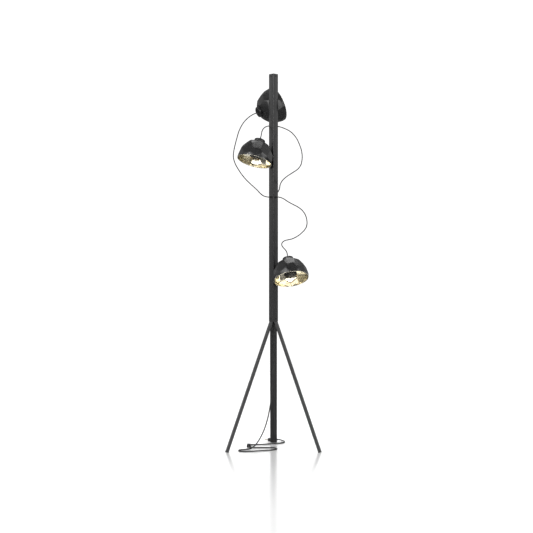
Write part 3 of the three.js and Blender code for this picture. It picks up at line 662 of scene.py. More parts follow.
given = add(round_tree, "NodeGroupInput").outputs
ring = add(round_tree, "GeometryNodeMeshCircle", {"Vertices": 3, "Radius": given["Face distance"]})
quarter = add(round_tree, "GeometryNodeTransform",
              {"Geometry": ring.outputs[0], "Rotation": (0, 0, math.pi / 2)})
step = add(round_tree, "ShaderNodeCombineXYZ", {"Z": given["Row step"]})
rows = add(round_tree, "GeometryNodeMeshLine", {"Count": given["Rows"], "Offset": step.outputs[0]})
stacked = add(round_tree, "GeometryNodeInstanceOnPoints",
              {"Points": rows.outputs[0], "Instance": quarter.outputs[0]})
places = add(round_tree, "GeometryNodeRealizeInstances", {"Geometry": stacked.outputs[0]})
spot = add(round_tree, "GeometryNodeInputPosition")
across = add(round_tree, "ShaderNodeSeparateXYZ", {"Vector": spot.outputs[0]})
bearing = add(round_tree, "ShaderNodeMath", {0: across.outputs["Y"], 1: across.outputs["X"]},
              operation="ARCTAN2")
facing = add(round_tree, "ShaderNodeCombineXYZ", {"Z": bearing.outputs[0]})
copies = add(round_tree, "GeometryNodeInstanceOnPoints",
             {"Points": places.outputs[0], "Instance": given["Geometry"], "Rotation": facing.outputs[0]})
lift = add(round_tree, "ShaderNodeCombineXYZ", {"Z": given["Height"]})
shift = add(round_tree, "ShaderNodeVectorMath", {0: given["Middle"], 1: lift.outputs[0]}, operation="ADD")
moved = add(round_tree, "GeometryNodeTransform",
            {"Geometry": copies.outputs[0], "Translation": shift.outputs[0]})
solid = add(round_tree, "GeometryNodeRealizeInstances", {"Geometry": moved.outputs[0]})
painted = add(round_tree, "GeometryNodeSetMaterial",
              {"Geometry": solid.outputs[0], "Material": given["Material"]})
add(round_tree, "NodeGroupOutput", {"Geometry": painted.outputs[0]})
print("the tree has", len(round_tree.nodes), "nodes")

# %% [markdown]
# The screws are blackened steel with a button head and a hexagon socket. Blackening is a thin oxide, so
# the steel still shines like metal, only dark. The grommets line the holes through which the heads'
# wires enter the pole: a rubber ring with a rounded flange.

# %% Repeat the screws and the grommets
blackened_steel = finish("blackened_steel", "#2b2b2d", "#1b1b1c", (0.3, 0.42), 0.6 * MM, 0.01 * MM,
                         constants={"Metallic": 1})


def measured(node, place):
    """The smallest and greatest radius and height of a solid about a place's upright axis."""
    back = place.inverted()
    points = [back @ v.co for v in frame["nodes"][node].data.vertices]
    radii = [math.hypot(p.x, p.y) for p in points]
    heights = [p.z for p in points]
    return min(radii), max(radii), min(heights), max(heights)


def face_place(face, height, across=0):
    """A place on a face of the pole, with its upright axis pointing out of the face."""
    out = Matrix.Rotation(math.radians(FACE_ANGLES[face]), 3, "Z") @ Vector((1, 0, 0))
    side = UP.cross(out)
    turn = Matrix((side, UP, out)).transposed().to_4x4()
    return Matrix.Translation(pole_axis + out * FACE_RADIUS + UP * height + side * across) @ turn


SCREW_SHANK = 1.6 * MM
SCREW_SIDES = 36
GROMMET_NECK = 4.3 * MM


def screw_mesh(shank, head, low, high):
    """A button screw along the upright axis, with its seat at height 0 and a hexagon socket."""
    crown = high - 0.1 * MM
    outline = eased([(0, low), (shank, low), (shank, PLAY), (head, PLAY), (head, high * 0.55),
                     (head * 0.62, crown), (head * 0.45, high)], 0.25 * MM, closed=False)
    vertices, faces, _ = turned_mesh(outline, SCREW_SIDES, closed=False)
    rim = len(vertices) - SCREW_SIDES
    socket_radius = head * 0.36
    for depth in (high, high * 0.35):
        for k in range(SCREW_SIDES):
            angle = math.tau * k / SCREW_SIDES
            flat = math.cos(math.pi / 6) / math.cos((angle % (math.pi / 3)) - math.pi / 6)
            vertices.append((socket_radius * flat * math.cos(angle),
                             socket_radius * flat * math.sin(angle), depth))
    for start in (rim, rim + SCREW_SIDES):
        on = start + SCREW_SIDES
        for k in range(SCREW_SIDES):
            m = (k + 1) % SCREW_SIDES
            faces.append((start + k, start + m, on + m, on + k))
    faces.append(tuple(range(rim + 2 * SCREW_SIDES, rim + 3 * SCREW_SIDES)))
    return vertices, faces


def laid_out(name, vertices, faces, height, rows, step, material):
    """One mesh with a copy of a part on every face of the pole."""
    seed = bpy.data.meshes.new(name + "_seed")
    outwards = Matrix.Rotation(math.pi / 2, 3, "Y")
    seed.from_pydata([outwards @ Vector(v) for v in vertices], [], faces)
    values = {"Face distance": FACE_RADIUS, "Height": height, "Rows": rows, "Row step": step,
              "Middle": tuple(pole_axis), "Material": material}
    return finish_mesh(name, run_tree(round_tree, name, seed, values), material)


screw_heights = sorted(middle(f"{row}_screw_back").z for row in ("foot", "top"))
screw_size = measured("top_screw_back", face_place("back", screw_heights[1]))
screws = laid_out("button_screws", *screw_mesh(SCREW_SHANK, screw_size[1], *screw_size[2:]),
                  screw_heights[0], 2, screw_heights[1] - screw_heights[0], blackened_steel)
own(screws, "stand", "black_screw",
    *[f"{row}_screw_{face}" for row in ("top", "foot") for face in FACE_ANGLES])

grommet_height = middle("cord_grommet_back").z
bore, flange, lip, crest = measured("cord_grommet_back", face_place("back", grommet_height))
grommet = eased([(bore, lip), (GROMMET_NECK, lip), (GROMMET_NECK, PLAY), (flange, PLAY),
                 (flange - 0.4 * MM, 1.4 * MM), (3.4 * MM, crest), (bore, crest)], 0.5 * MM)
vertices, faces, _ = turned_mesh([tuple(p) for p in grommet], 40)
grommets = laid_out("cord_grommets", vertices, faces, grommet_height, 1, 0, moulded_rubber)
own(grommets, "stand", "black_rubber", *[f"cord_grommet_{face}" for face in FACE_ANGLES])
print("screws at", [round(h, 3) for h in screw_heights], "m, grommets at", round(grommet_height, 3))

# %% [markdown]
# ## Where each head sits
# A head is made of pieces turned about one axis, from the rim of the shade at height 0 to the cord's
# gland. The area-weighted middle of a turned solid's surface lies on its axis, whichever way it leans,
# so two such middles give the axis. The swivel joint gives the point where the stud goes through.

# %% Find the heads' places
MAGNET_STACK = 3.1 * MM     # from the pole's face to the outside of the shade, at the stud


def surface_middle(node):
    """The area-weighted middle of a solid's surface."""
    faces = frame["nodes"][node].data.polygons
    total = sum((face.center * face.area for face in faces), Vector())
    return total / sum(face.area for face in faces)


def place_along(origin, axis, aside):
    """A place whose upright axis is the given one and whose first axis points to the side given."""
    axis = axis.normalized()
    first = (aside - axis * aside.dot(axis)).normalized()
    turn = Matrix((first, axis.cross(first), axis)).transposed().to_4x4()
    return Matrix.Translation(origin) @ turn


swivels = {j["name"].split("_")[0]: j for j in frame["joints"] if j["name"].endswith("_swivel")}
head_places, mount_places, studs = {}, {}, {}
for head, joint in swivels.items():
    pivot, out = Vector(joint["pos_m"]), Vector(joint["axis"])
    foot = surface_middle(f"{head}_led_ring")
    axis = (surface_middle(f"{head}_cord_gland") - foot).normalized()
    rim = min(axis.dot(v.co) for v in frame["nodes"][f"{head}_shade"].data.vertices)
    origin = foot + axis * (rim - axis.dot(foot))
    head_places[head] = place_along(origin, axis, pivot - origin)
    mount_places[head] = place_along(pivot, out, UP)
    studs[head] = head_places[head].inverted() @ (pivot + out * MAGNET_STACK)
    print(head, "rim at", [round(c, 4) for c in origin], "stud at", [round(c, 4) for c in studs[head]])

# %% [markdown]
# ## Beaten metal
# The shades are spun from aluminium and then beaten by hand. Each blow flattens a patch a few
# centimetres wide, and the patches meet in soft ridges, so the dome becomes a many-sided shape.
#
# It could be a displacement by a cell texture, but its steps wouldn't meet. There is an exact rule
# instead. Scaled to a ball, the dome touches a flat face at each blow, and the distance to the nearest
# face is one over the cosine of the angle to the nearest blow. A Geometry Nodes tree scatters the blows
# over a ball with a fixed seed, pushes each point of the smooth dome out by that rule, and blurs the
# push a little, because a hammer's face is rounded. One blow always falls on the stud, where the real
# shade is flat against its magnet. The rim and the level top stay true.

# %% Build the tree that beats a dome
beat_tree = bpy.data.node_groups.new("beat_a_dome", "GeometryNodeTree")
for socket in (("Geometry", "Geometry"), ("Radius", "Float"), ("Dome height", "Float"),
               ("True rim", "Float"), ("Top", "Float"), ("True top", "Float"), ("Blow spacing", "Float"),
               ("Stud", "Vector"), ("Flatness", "Float"), ("Ripple", "Float"), ("Ripple size", "Float"),
               ("Blur steps", "Int"), ("Seed", "Int"), ("Material", "Material")):
    tree_input(beat_tree, *socket)
beat_tree.interface.new_socket("Geometry", in_out="OUTPUT", socket_type="NodeSocketGeometry")

given = add(beat_tree, "NodeGroupInput").outputs
spot = add(beat_tree, "GeometryNodeInputPosition").outputs[0]
axes = add(beat_tree, "ShaderNodeCombineXYZ",
           {"X": given["Radius"], "Y": given["Radius"], "Z": given["Dome height"]}).outputs[0]


def on_ball(point):
    """Nodes that bring a point of the dome onto the ball."""
    scaled = add(beat_tree, "ShaderNodeVectorMath", {0: point, 1: axes}, operation="DIVIDE").outputs[0]
    return add(beat_tree, "ShaderNodeVectorMath", {0: scaled}, operation="NORMALIZE").outputs[0]


def number(operation, first, second=0.0, third=0.0):
    """A node that reckons with numbers."""
    return add(beat_tree, "ShaderNodeMath", {0: first, 1: second, 2: third}, operation=operation).outputs[0]


ball = add(beat_tree, "GeometryNodeMeshUVSphere", {"Segments": 64, "Rings": 32, "Radius": 1.0})
blows = add(beat_tree, "GeometryNodeDistributePointsOnFaces",
            {"Mesh": ball.outputs[0], "Distance Min": given["Blow spacing"], "Density Max": 400.0,
             "Seed": given["Seed"]}, distribute_method="POISSON")
stud = on_ball(given["Stud"])
from_stud = add(beat_tree, "ShaderNodeVectorMath", {0: spot, 1: stud}, operation="DISTANCE")
close = add(beat_tree, "FunctionNodeCompare",
            {0: from_stud.outputs["Value"], 1: number("MULTIPLY", given["Blow spacing"], 0.9)},
            data_type="FLOAT", operation="LESS_THAN")
spread = add(beat_tree, "GeometryNodeDeleteGeometry",
             {"Geometry": blows.outputs[0], "Selection": close.outputs[0]})
flat_spot = add(beat_tree, "GeometryNodePoints", {"Count": 1, "Position": stud})
marks = add(beat_tree, "GeometryNodeJoinGeometry", {0: spread.outputs[0]})
beat_tree.links.new(flat_spot.outputs[0], marks.inputs[0])

aim = on_ball(spot)
nearest = add(beat_tree, "GeometryNodeSampleNearest", {"Geometry": marks.outputs[0], "Sample Position": aim},
              domain="POINT")
blow = add(beat_tree, "GeometryNodeSampleIndex",
           {"Geometry": marks.outputs[0], "Value": spot, "Index": nearest.outputs[0]},
           data_type="FLOAT_VECTOR", domain="POINT")
blow_way = add(beat_tree, "ShaderNodeVectorMath", {0: blow.outputs[0]}, operation="NORMALIZE").outputs[0]
cosine = add(beat_tree, "ShaderNodeVectorMath", {0: aim, 1: blow_way}, operation="DOT_PRODUCT")
push = number("SUBTRACT", number("DIVIDE", 1.0, cosine.outputs["Value"]), 1.0)

height = add(beat_tree, "ShaderNodeSeparateXYZ", {"Vector": spot}).outputs["Z"]
from_rim = add(beat_tree, "ShaderNodeMapRange", {0: height, 1: 0.0, 2: given["True rim"]},
               interpolation_type="SMOOTHSTEP").outputs[0]
to_top = number("SUBTRACT", given["Top"], height)
from_top = add(beat_tree, "ShaderNodeMapRange", {0: to_top, 1: 0.0, 2: given["True top"]},
               interpolation_type="SMOOTHSTEP").outputs[0]
ripple = add(beat_tree, "ShaderNodeTexNoise",
             {"Vector": spot, "Scale": number("DIVIDE", 1.0, given["Ripple size"]), "Detail": 1.0})
wave = number("MULTIPLY", number("SUBTRACT", ripple.outputs[0], 0.5), given["Ripple"])
full = number("MULTIPLY_ADD", push, given["Flatness"], wave)
faded = number("MULTIPLY", number("MULTIPLY", full, from_rim), from_top)
soft = add(beat_tree, "GeometryNodeBlurAttribute", {0: faded, "Iterations": given["Blur steps"]},
           data_type="FLOAT")
size = number("ADD", soft.outputs[0], 1.0)
beaten_spot = add(beat_tree, "ShaderNodeVectorMath", {0: spot, "Scale": size}, operation="SCALE")
shaped = add(beat_tree, "GeometryNodeSetPosition",
             {"Geometry": given["Geometry"], "Position": beaten_spot.outputs[0]})
whole = add(beat_tree, "GeometryNodeRealizeInstances", {"Geometry": shaped.outputs[0]})
painted = add(beat_tree, "GeometryNodeSetMaterial",
              {"Geometry": whole.outputs[0], "Material": given["Material"]})
add(beat_tree, "NodeGroupOutput", {"Geometry": painted.outputs[0]})
print("the tree has", len(beat_tree.nodes), "nodes")

# %% [markdown]
# ## Satin lacquer outside, polished gold inside
# The outside has a satin black lacquer, thin enough to show each blow. The inside is a second shell of
# polished aluminium, anodised in champagne gold. Beaten too, it throws back a patchwork: cream where a
# facet finds something bright, and brown where it finds something dark. Its lip is folded over the rim
# and shows as a thin bright line. Gold anodising tints the metal's reflection, so its colour is the base
# colour of a metal, and its roughness is low but uneven.

# %% Make the shade's two finishes
satin_lacquer = finish("satin_black_lacquer_on_beaten_aluminium", "#101011", "#080809", (0.3, 0.42),
                       2.5 * MM, 0.05 * MM, patch=0.02, constants={"IOR": 1.5})
champagne_mirror = finish("champagne_anodised_beaten_aluminium", "#f8f4e6", "#e9e1c8", (0.12, 0.2),
                          6 * MM, 0.012 * MM, patch=0.025, constants={"Metallic": 1})

# %% Beat the shells
SHADE_WALL = 1.2 * MM
LINER_WALL = 1 * MM
LIP = 0.5 * MM
TRUE_RIM = 14 * MM          # how far from the rim the blows reach their full depth
TRUE_TOP = 9 * MM           # the same, from the level top
BLOW_SPACING = 0.5          # least distance between two blows, on a ball of radius 1
FLATNESS = 0.8              # 1 would be truly flat facets
RIPPLE = 0.004              # unevenness left by the smaller blows, as a share of the radius
LINER_RIPPLE = 0.002
RIPPLE_SIZE = 22 * MM
BLUR_STEPS = 3
SHELL_SEGMENTS = 192
DOME_ROWS = 56
BLOWS = {"top": 11, "mid": 4, "low": 7}      # a seed for each head, as no two are beaten alike


def dome_rows(radius, dome, top):
    """The profile of half an ellipse, from the rim up to a level top."""
    end = math.asin(top / dome)
    angles = [end * i / DOME_ROWS for i in range(DOME_ROWS + 1)]
    return [(radius * math.cos(a), dome * math.sin(a)) for a in angles]


def beaten(name, profile, place, material, **values):
    """A turned shell, beaten in its own frame and then laid in its place."""
    vertices, faces, uv = turned_mesh(profile, SHELL_SEGMENTS)
    smooth = bpy.data.meshes.new(name + "_smooth")
    smooth.from_pydata(vertices, [], faces)
    values = {key.replace("_", " ").capitalize(): value for key, value in values.items()}
    mesh = run_tree(beat_tree, name, smooth, {**values, "Material": material})
    mesh.transform(place)
    return finish_mesh(name, mesh, material)


for head, place in head_places.items():
    body = head + "_head"
    hole, radius, _, top = measured(f"{head}_shade", place)
    corners = [place.inverted() @ v.co for v in frame["nodes"][f"{head}_shade"].data.vertices]
    flat = max(math.hypot(p.x, p.y) for p in corners if p.z > top - 0.1 * MM)
    dome = top / math.sqrt(1 - (flat / radius) ** 2)
    blows = {"radius": radius, "dome_height": dome, "true_rim": TRUE_RIM, "top": top,
             "true_top": TRUE_TOP, "blow_spacing": BLOW_SPACING, "stud": tuple(studs[head]),
             "flatness": FLATNESS, "ripple": RIPPLE, "ripple_size": RIPPLE_SIZE,
             "blur_steps": BLUR_STEPS, "seed": BLOWS[head]}
    outer = dome_rows(radius, dome, top)
    inner = dome_rows(radius - SHADE_WALL, dome - SHADE_WALL, top - SHADE_WALL)
    shell = [*outer, (hole, top), (hole, top - SHADE_WALL), *inner[::-1]]
    own(beaten(head + "_beaten_shade", shell, place, satin_lacquer, **blows),
        body, "shade_black", head + "_shade")

    liner_hole, liner_radius, _, liner_top = measured(f"{head}_reflector", place)
    liner_dome = dome - (radius - liner_radius)
    back = dome_rows(liner_radius, liner_dome, liner_top)
    face = dome_rows(liner_radius - LINER_WALL, liner_dome - LINER_WALL, liner_top - LINER_WALL)
    lip = eased([(liner_radius, -0.1 * MM), (radius + 0.3 * MM, -0.1 * MM), (radius + 0.3 * MM, -LIP),
                 (face[0][0], -LIP), face[0]], 0.2 * MM, closed=False)
    liner = [*back[::-1], *[tuple(p) for p in lip], *face[1:], (liner_hole, liner_top - LINER_WALL),
             (liner_hole, liner_top)]
    blows["ripple"] = LINER_RIPPLE
    own(beaten(head + "_champagne_reflector", liner, place, champagne_mirror, **blows),
        body, "reflector_gold", head + "_reflector")
    print(head, "shade", round(2 * radius / MM), "mm across,", round(top / MM), "mm to the level top")

# %% [markdown]
# ## Caps, glands and stems
# A small cap covers the top of each shade. It is beaten as well, in a few broad blows. A gland screwed
# into it grips the cord and guides it out through a soft ribbed sleeve, which bends before the cord
# does. A hollow stem clamps the shells together from inside and carries the light. These pieces are
# turned, so each is a profile with eased corners, and its sizes are measured on its solid.

# %% Turn the caps, glands and stems
CAP_WALL = 1.5 * MM
WIRE_BORE = 1.6 * MM
STEM_RADIUS = 4.6 * MM
BOSS_THICKNESS = 5 * MM
RIB_DEPTH = 0.45 * MM
CAP_SEED_STEP = 20          # so that a cap isn't beaten like its shade
moulded_plastic = finish("moulded_black_nylon", "#171718", "#101011", (0.42, 0.52), 0.45 * MM, 0.03 * MM,
                         constants={"IOR": 1.53})


def profile(corners, radius, closed=True):
    """A profile to turn, with its corners eased."""
    return [tuple(p) for p in eased(corners, radius, closed=closed)]


def ribbed(start, end, wide, narrow, ribs):
    """Corners of a tapering sleeve with ribs round it, from a wide start to a narrow end."""
    corners = []
    step = (end - start) / ribs
    for i in range(ribs):
        radius = wide + (narrow - wide) * i / (ribs - 1)
        groove = radius - RIB_DEPTH
        corners += [(radius, start + i * step), (radius, start + (i + 0.55) * step),
                    (groove, start + (i + 0.6) * step), (groove, start + (i + 0.95) * step)]
    return corners


for head, place in head_places.items():
    body = head + "_head"
    hole, radius, foot, top = measured(f"{head}_neck_cap", place)
    rise = top - foot
    inner = radius - CAP_WALL
    neck = profile([(radius, 0), (radius, rise - 8 * MM), (radius - 1.5 * MM, rise - 3 * MM),
                    (radius - 6 * MM, rise - 0.4 * MM), (hole, rise), (hole, rise - CAP_WALL),
                    (inner - 5 * MM, rise - CAP_WALL - 0.4 * MM), (inner - 1 * MM, rise - 4.5 * MM),
                    (inner, rise - 8.5 * MM), (inner, 0)],
                   [0, 6 * MM, 3 * MM, 6 * MM, 0.4 * MM, 0, 4 * MM, 3 * MM, 4 * MM, 0])
    rows = []
    for start, end in zip(neck, neck[1:] + neck[:1]):
        cuts = max(1, round((Vector(end) - Vector(start)).length / (1.2 * MM)))
        rows += [tuple(Vector(start).lerp(Vector(end), i / cuts)) for i in range(cuts)]
    own(beaten(head + "_beaten_neck_cap", rows, place @ Matrix.Translation((0, 0, foot)), satin_lacquer,
               radius=radius, dome_height=rise * 1.25, true_rim=2 * MM, top=2 * rise, true_top=MM,
               blow_spacing=0.62, stud=(0, 0, rise), flatness=0.55, ripple=0.02, ripple_size=9 * MM,
               blur_steps=BLUR_STEPS, seed=BLOWS[head] + CAP_SEED_STEP),
        body, "shade_black", head + "_neck_cap")

    _, flange, low, tip = measured(f"{head}_cord_gland", place)
    base = top + PLAY
    neck_radius = hole - PLAY
    sleeve = ribbed(base + 2.6 * MM, tip, 4.4 * MM, 3.3 * MM, 4)
    own(turned(head + "_ribbed_gland",
               profile([(WIRE_BORE, low), (neck_radius, low), (neck_radius, base), (flange, base),
                        (flange, base + 2 * MM), *sleeve, (WIRE_BORE, tip)], 0.35 * MM),
               moulded_plastic, place, 64), body, "black_plastic", head + "_cord_gland")

    _, boss, foot, end = measured(f"{head}_stem", place)
    boss_top = measured(f"{head}_reflector", place)[3] - LINER_WALL - PLAY
    own(turned(head + "_stem_and_boss",
               profile([(WIRE_BORE, foot), (STEM_RADIUS, foot), (STEM_RADIUS, boss_top - BOSS_THICKNESS),
                        (boss, boss_top - BOSS_THICKNESS), (boss, boss_top), (STEM_RADIUS, boss_top),
                        (STEM_RADIUS, end), (WIRE_BORE, end)], 0.7 * MM),
               satin_lacquer, place, 64), body, "stem_steel", head + "_stem")
print("each gland has four ribs")

# %% [markdown]
# ## The light inside
# A flat disc hangs below the middle of each shade and hides the light source, which shines back up into
# the gold dome. So the light is never seen by itself, only thrown about by the facets. The disc is turned
# aluminium with matt black anodising. The lathe's tool leaves circles less than half a millimetre apart,
# which spread each highlight into a fan, so the bump follows the UV map, whose second direction runs
# outwards from the middle. They are drawn a millimetre apart, because finer ones wouldn't show.

# %% Turn the discs
TURNING_MARKS = 1 * MM
matt_anodised = finish("matt_black_anodised_turned_aluminium", "#0c0c0d", "#070708", (0.5, 0.62),
                       0.5 * MM, 0.01 * MM, constants={"Metallic": 0.6})
tree = matt_anodised.node_tree
outwards = add(tree, "ShaderNodeSeparateXYZ", {0: add(tree, "ShaderNodeTexCoord").outputs["UV"]})
phase = add(tree, "ShaderNodeMath", {0: outwards.outputs["Y"], 1: math.tau / TURNING_MARKS},
            operation="MULTIPLY")
circles = add(tree, "ShaderNodeMath", {0: phase.outputs[0]}, operation="SINE")
marks_bump = add(tree, "ShaderNodeBump", {"Height": circles.outputs[0], "Distance": 0.015 * MM,
                                          "Normal": tree.nodes["Bump"].outputs[0]})
tree.links.new(marks_bump.outputs[0], tree.nodes["Principled BSDF"].inputs["Normal"])

for head, place in head_places.items():
    _, radius, face, back = measured(f"{head}_led_disc", place)
    stem_foot = measured(f"{head}_stem", place)[2] - PLAY
    socket = STEM_RADIUS + PLAY
    rim = profile([(0, face), (radius, face), (radius, back - 2 * MM), (radius - 1.5 * MM, back),
                   (socket, back), (socket, stem_foot), (0, stem_foot)],
                  [0, 0.7 * MM, 1 * MM, 0.8 * MM, 0.4 * MM, 0.3 * MM, 0], closed=False)
    own(turned(head + "_turned_disc", rim, matt_anodised, place, 128, closed=False),
        head + "_head", "heat_sink", head + "_led_disc")
print("each disc is", round(2 * radius / MM), "mm across")

# %% [markdown]
# The light source is a ring-shaped board behind the disc, under a frosted silicone ring that hides its
# single diodes. It gives warm white. The scene's own light is far brighter, so it only has a soft glow.

# %% Make the glowing ring
frosted_silicone = finish("frosted_silicone_over_warm_leds", "#fff3de", "#ffe9c8", (0.4, 0.5),
                          1.5 * MM, 0.05 * MM, patch=0.012,
                          constants={"IOR": 1.41, "Emission Color": linear("#ffe6c4"),
                                     "Emission Strength": 0.8})
for head, place in head_places.items():
    inner, outer, low, high = measured(f"{head}_led_ring", place)
    crown = profile([(inner, low), (outer, low), (outer, high), (inner, high)],
                    [0.2 * MM, 0.2 * MM, 0.9 * MM, 0.9 * MM])
    own(turned(head + "_frosted_ring", crown, frosted_silicone, place), head + "_head", "diffuser",
        head + "_led_ring")
print("each ring is", round((outer - inner) / MM), "mm wide")

# %% [markdown]
# ## Magnets
# A head is held by a disc magnet, which slides on the pole's face. A stud stands on it, goes through the
# wall of the shade and ends in a rivet's head with a little play, so the shade turns about it. A square
# plate inside spreads the pressure on the thin aluminium. The magnet and stud are nickel plated, which
# is a slightly warm mirror with handling marks. The plate turns with the shade.

# %% Turn the magnets and cut the square plates
nickel_plate = finish("bright_nickel_plate", "#c9c5bd", "#aaa59b", (0.16, 0.3), 0.7 * MM, 0.008 * MM,
                      constants={"Metallic": 1})
STUD = 3 * MM
PLATE_SIDE = 17 * MM
RIVET_RADIUS = 5.5 * MM
RIVET_HEIGHT = 1.8 * MM
PLATE_UNDER, PLATE_EDGE, PLATE_TOP = -0.95 * MM, -0.3 * MM, -0.1 * MM    # from the rivet's seat
for head, place in mount_places.items():
    _, magnet, seat, end = measured(f"{head}_magnet_mount", place)
    top = MAGNET_STACK - PLAY
    rivet_seat = end - RIVET_HEIGHT
    stud = profile([(0, seat), (magnet, seat), (magnet, top), (STUD, top), (STUD, rivet_seat),
                    (RIVET_RADIUS, rivet_seat), (RIVET_RADIUS, rivet_seat + 0.7 * MM),
                    (RIVET_RADIUS * 0.6, end), (0, end)],
                   [0, 0.3 * MM, 0.7 * MM, 0.3 * MM, 0.2 * MM, 0.2 * MM, 0.9 * MM, 2 * MM, 0], closed=False)
    own(turned(head + "_magnet_and_stud", stud, nickel_plate, place, closed=False),
        head + "_carriage", "nickel_steel", head + "_magnet_mount")

    out = place.to_3x3() @ UP
    plate_place = place_along(place.translation, out, head_places[head].to_3x3() @ UP)
    half = PLATE_SIDE / 2
    square = eased([(half, half), (-half, half), (-half, -half), (half, -half)], 1.2 * MM, 7)
    hole = [p.normalized() * (STUD + PLAY) for p in square]
    rings = [[plate_place @ Vector((*p, rivet_seat + drop)) for p in outline] for outline, drop in (
        (hole, PLATE_UNDER), (square, PLATE_UNDER), (square, PLATE_EDGE),
        ([p * 0.97 for p in square], PLATE_TOP), (hole, PLATE_TOP))]
    own(mesh_object(head + "_square_plate", *loft(rings, closed_ends=False), satin_lacquer),
        head + "_head", "shade_black")
print("each magnet is", round(2 * magnet / MM), "mm across")

# %% [markdown]
# ## Strain relief, hub and the parts inside the pole
# The mains cord leaves the hub through a tapered rubber sleeve with ribs. The hub that joins the legs to
# the pole has the same powder coat. The driver and the terminal block stay inside the pole, where only a
# part taken off would show them, so their solids are kept and only get their plastics.

# %% Turn the sleeve and finish the hub and the inner parts
upright_place = Matrix.Translation(pole_axis)
_, wide, low, high = measured("mains_strain_relief", upright_place)
sleeve = ribbed(low, high - 4 * MM, wide - 0.6 * MM, wide, 7)
own(turned("ribbed_strain_relief", [(0, low), *profile(sleeve, 0.3 * MM, closed=False),
                                    (wide, high), (0, high)], moulded_rubber, upright_place, 48,
           closed=False), "stand", "black_rubber", "mains_strain_relief")

flame_proof_plastic = finish("pale_flame_proof_polycarbonate", "#d9d8d2", "#c9c7bf", (0.4, 0.5),
                             0.8 * MM, 0.02 * MM, constants={"IOR": 1.58})
for node, material in (("leg_hub", powder_coat), ("led_driver", flame_proof_plastic),
                       ("terminal_block", flame_proof_plastic)):
    frame["nodes"][node].material_slots[0].material = material
print("the sleeve is", round((high - low) / MM), "mm long")

# %% [markdown]
# ## Foot switch and plug
# The switch and the plug are moulded in black nylon with a fine grain, and their edges have the small
# radius of the mould. The plug's two pins are nickel-plated brass with rounded tips.

# %% Make the foot switch
switch_bodies = {"switch_base": "stand", "switch_cover": "stand", "switch_rocker": "rocker"}
switch_pieces = [own(softened("foot_" + node, node, 0.7 * MM, moulded_plastic), body, "black_plastic", node)
                 for node, body in switch_bodies.items()]
print("the switch is", [round(c / MM) for c in size_of("switch_cover")], "mm")

# %% Make the plug
plug_pieces = [own(softened("plug_moulding", "plug_body", MM, moulded_plastic), "stand", "black_plastic",
                   "plug_body")]
for node in ("plug_pin_front", "plug_pin_rear"):
    low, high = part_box(node)
    root = Vector((high.x, (low.y + high.y) / 2, (low.z + high.z) / 2))
    pin_place = place_along(root, Vector((-1, 0, 0)), UP)
    _, radius, start, end = measured(node, pin_place)
    pin = profile([(0, start), (radius, start), (radius, end - 1.2 * MM), (radius * 0.5, end), (0, end)],
                  [0, 0.2 * MM, MM, 0.6 * MM, 0], closed=False)
    plug_pieces.append(own(turned(node.replace("plug_pin", "nickel_pin"), pin, nickel_plate, pin_place, 32,
                                  closed=False), "stand", "nickel_pins", node))
print("the plug's pins are", round(2 * radius / MM, 1), "mm thick")

# %% Lay the two stretches of the mains cord between them
mains_stretch("mains_flex_to_switch", MAINS_CORD_TO_SWITCH, "mains_cord_to_switch")
mains_stretch("mains_flex_to_plug", MAINS_CORD_TO_PLUG, "mains_cord_to_plug")

# %% [markdown]
# ## Floor and light
# A black lamp is drawn by what it reflects. The surround is bright above the horizon and dark below it,
# and brighter at the sides than in front and behind, so that flat faces turn grey and outlines stay
# dark. Only the camera sees it as pure white. The floor is a pale, glossy grey that its own lights bring
# up to white, and it mirrors the feet. Reflections of the floor are dimmed, so that the gold domes, which
# face it, keep their browns.

# %% Lay the floor
FLOOR_RADIUS = 5.0
FLOOR_SIDES = 96
FLOOR_DROP = 0.2 * MM       # below the feet, so that nothing lies in its surface
SEEN_IN_METAL = 0.45        # how much of the floor's brightness a reflection gets
white_gloss = finish("white_gloss_studio_floor", "#c8c8c8", "#c0c0c0", (0.2, 0.24), 0.2, 0.0001, patch=0.5,
                     constants={"IOR": 2.2})
tree = white_gloss.node_tree
mirrored = add(tree, "ShaderNodeLightPath").outputs["Is Glossy Ray"]
dimmed = add(tree, "ShaderNodeMapRange", {0: mirrored, 3: 1.0, 4: SEEN_IN_METAL}).outputs[0]
plain = tree.nodes["Mix"].outputs[2]
shaded = add(tree, "ShaderNodeVectorMath", {0: plain, "Scale": dimmed}, operation="SCALE").outputs[0]
tree.links.new(shaded, tree.nodes["Principled BSDF"].inputs["Base Color"])
bearings = [math.tau * k / FLOOR_SIDES for k in range(FLOOR_SIDES)]
corners = [(FLOOR_RADIUS * math.cos(a), FLOOR_RADIUS * math.sin(a), -FLOOR_DROP) for a in bearings]
floor = mesh_object("studio_floor", corners, [tuple(range(FLOOR_SIDES))], white_gloss)
print("the floor reaches", FLOOR_RADIUS, "m from the lamp")

# %% Build the surround
# Each pair is the height of a direction, from -1 straight down to 1 straight up, and its brightness.
SURROUND = ((-1.0, 0.03), (-0.1, 0.06), (-0.03, 0.2), (0.03, 0.55), (0.1, 1.1), (0.5, 0.65),
            (1.0, 0.7))
world = bpy.data.worlds.new("studio")
scene.world = world
world.use_nodes = True
tree = world.node_tree
tree.nodes.clear()
way = add(tree, "ShaderNodeSeparateXYZ", {0: add(tree, "ShaderNodeTexCoord").outputs["Generated"]})
share = add(tree, "ShaderNodeMapRange", {0: way.outputs["Z"], 1: -1.0, 2: 1.0})
ramp = add(tree, "ShaderNodeValToRGB", {0: share.outputs[0]})
while len(ramp.color_ramp.elements) < len(SURROUND):
    ramp.color_ramp.elements.new(0.5)
for element, (sine, level) in zip(ramp.color_ramp.elements, SURROUND):
    element.position = (sine + 1) / 2
    element.color = (level, level, level, 1)
sideways = add(tree, "ShaderNodeMath", {0: way.outputs["X"], 1: way.outputs["X"]}, operation="MULTIPLY")
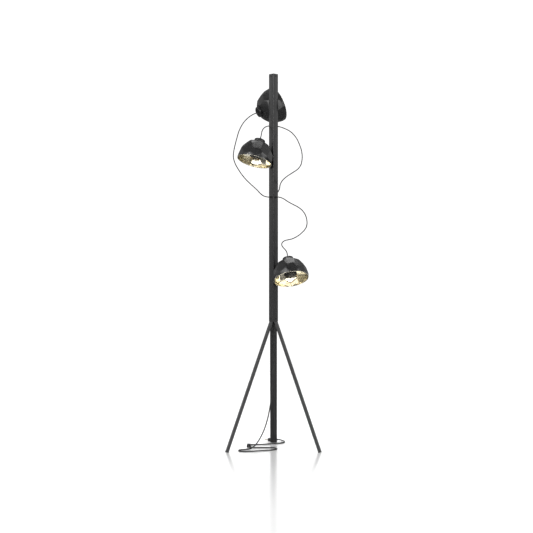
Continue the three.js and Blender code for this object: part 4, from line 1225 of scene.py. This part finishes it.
panels = add(tree, "ShaderNodeMapRange", {0: sideways.outputs[0], 1: 0.15, 2: 0.6, 3: 0.3, 4: 1.0},
             interpolation_type="SMOOTHSTEP")
seen = add(tree, "ShaderNodeBackground", {"Color": (1, 1, 1, 1), "Strength": 1.1})
lighting = add(tree, "ShaderNodeBackground", {"Color": ramp.outputs[0], "Strength": panels.outputs[0]})
choice = add(tree, "ShaderNodeMixShader", {0: add(tree, "ShaderNodeLightPath").outputs["Is Camera Ray"],
                                           1: lighting.outputs[0], 2: seen.outputs[0]})
add(tree, "ShaderNodeOutputWorld", {"Surface": choice.outputs[0]})
scene.view_settings.view_transform = "Standard"
print("the surround has", len(SURROUND), "levels")

# %% [markdown]
# Large soft boxes add direction: a key from the left and above, a weaker fill from the right, one
# overhead, and one over the camera that draws the pole's front edge. Two kinds of panel light only some
# things, through light linking. Four upright ones stand round the floor and are mirrored by it, so that
# it stays white up to its edge. One lies just above the floor for the gold domes, and lights them
# from below.

# %% Hang the soft boxes
TARGET = Vector((0, 0, 1.2))
WASH = 9                    # how far off the floor's own lights stand


def soft_box(name, spot, size, watts, aim=TARGET, only=()):
    """An area light that looks at a point, and that may light only some of the objects."""
    data = bpy.data.lights.new(name, "AREA")
    data.shape, data.energy = "RECTANGLE", watts
    data.size, data.size_y = size
    box = bpy.data.objects.new(name, data)
    box.location = spot
    box.rotation_euler = (Vector(aim) - box.location).to_track_quat("-Z", "Y").to_euler()
    scene.collection.objects.link(box)
    if only:
        box.light_linking.receiver_collection = bpy.data.collections.new(name + "_lights")
        for thing in only:
            box.light_linking.receiver_collection.objects.link(thing)


soft_box("key", (-3.5, -4.0, 4.2), (2.4, 2.4), 180)
soft_box("fill", (4.2, -2.2, 3.0), (2.0, 2.0), 60)
soft_box("overhead", (0.4, 1.6, 5.0), (3.0, 3.0), 120)
soft_box("front", (-0.8, -7.2, 3.4), (6.0, 3.0), 320, aim=(-0.8, 0, 3.0))
for side, (x, y) in (("front", (0, -WASH)), ("behind", (0, WASH)), ("left", (-WASH, 0)),
                     ("right", (WASH, 0))):
    soft_box("wash_" + side, (x, y, 1.5), (18, 3), 260, aim=(0, 0, 1.5), only=[floor])
domes = [thing for thing in scene.objects if thing.name.endswith("_champagne_reflector")]
soft_box("bounce", (-0.3, -1.2, 0.02), (2.6, 2.6), 40, aim=(-0.3, -1.2, 1), only=domes)
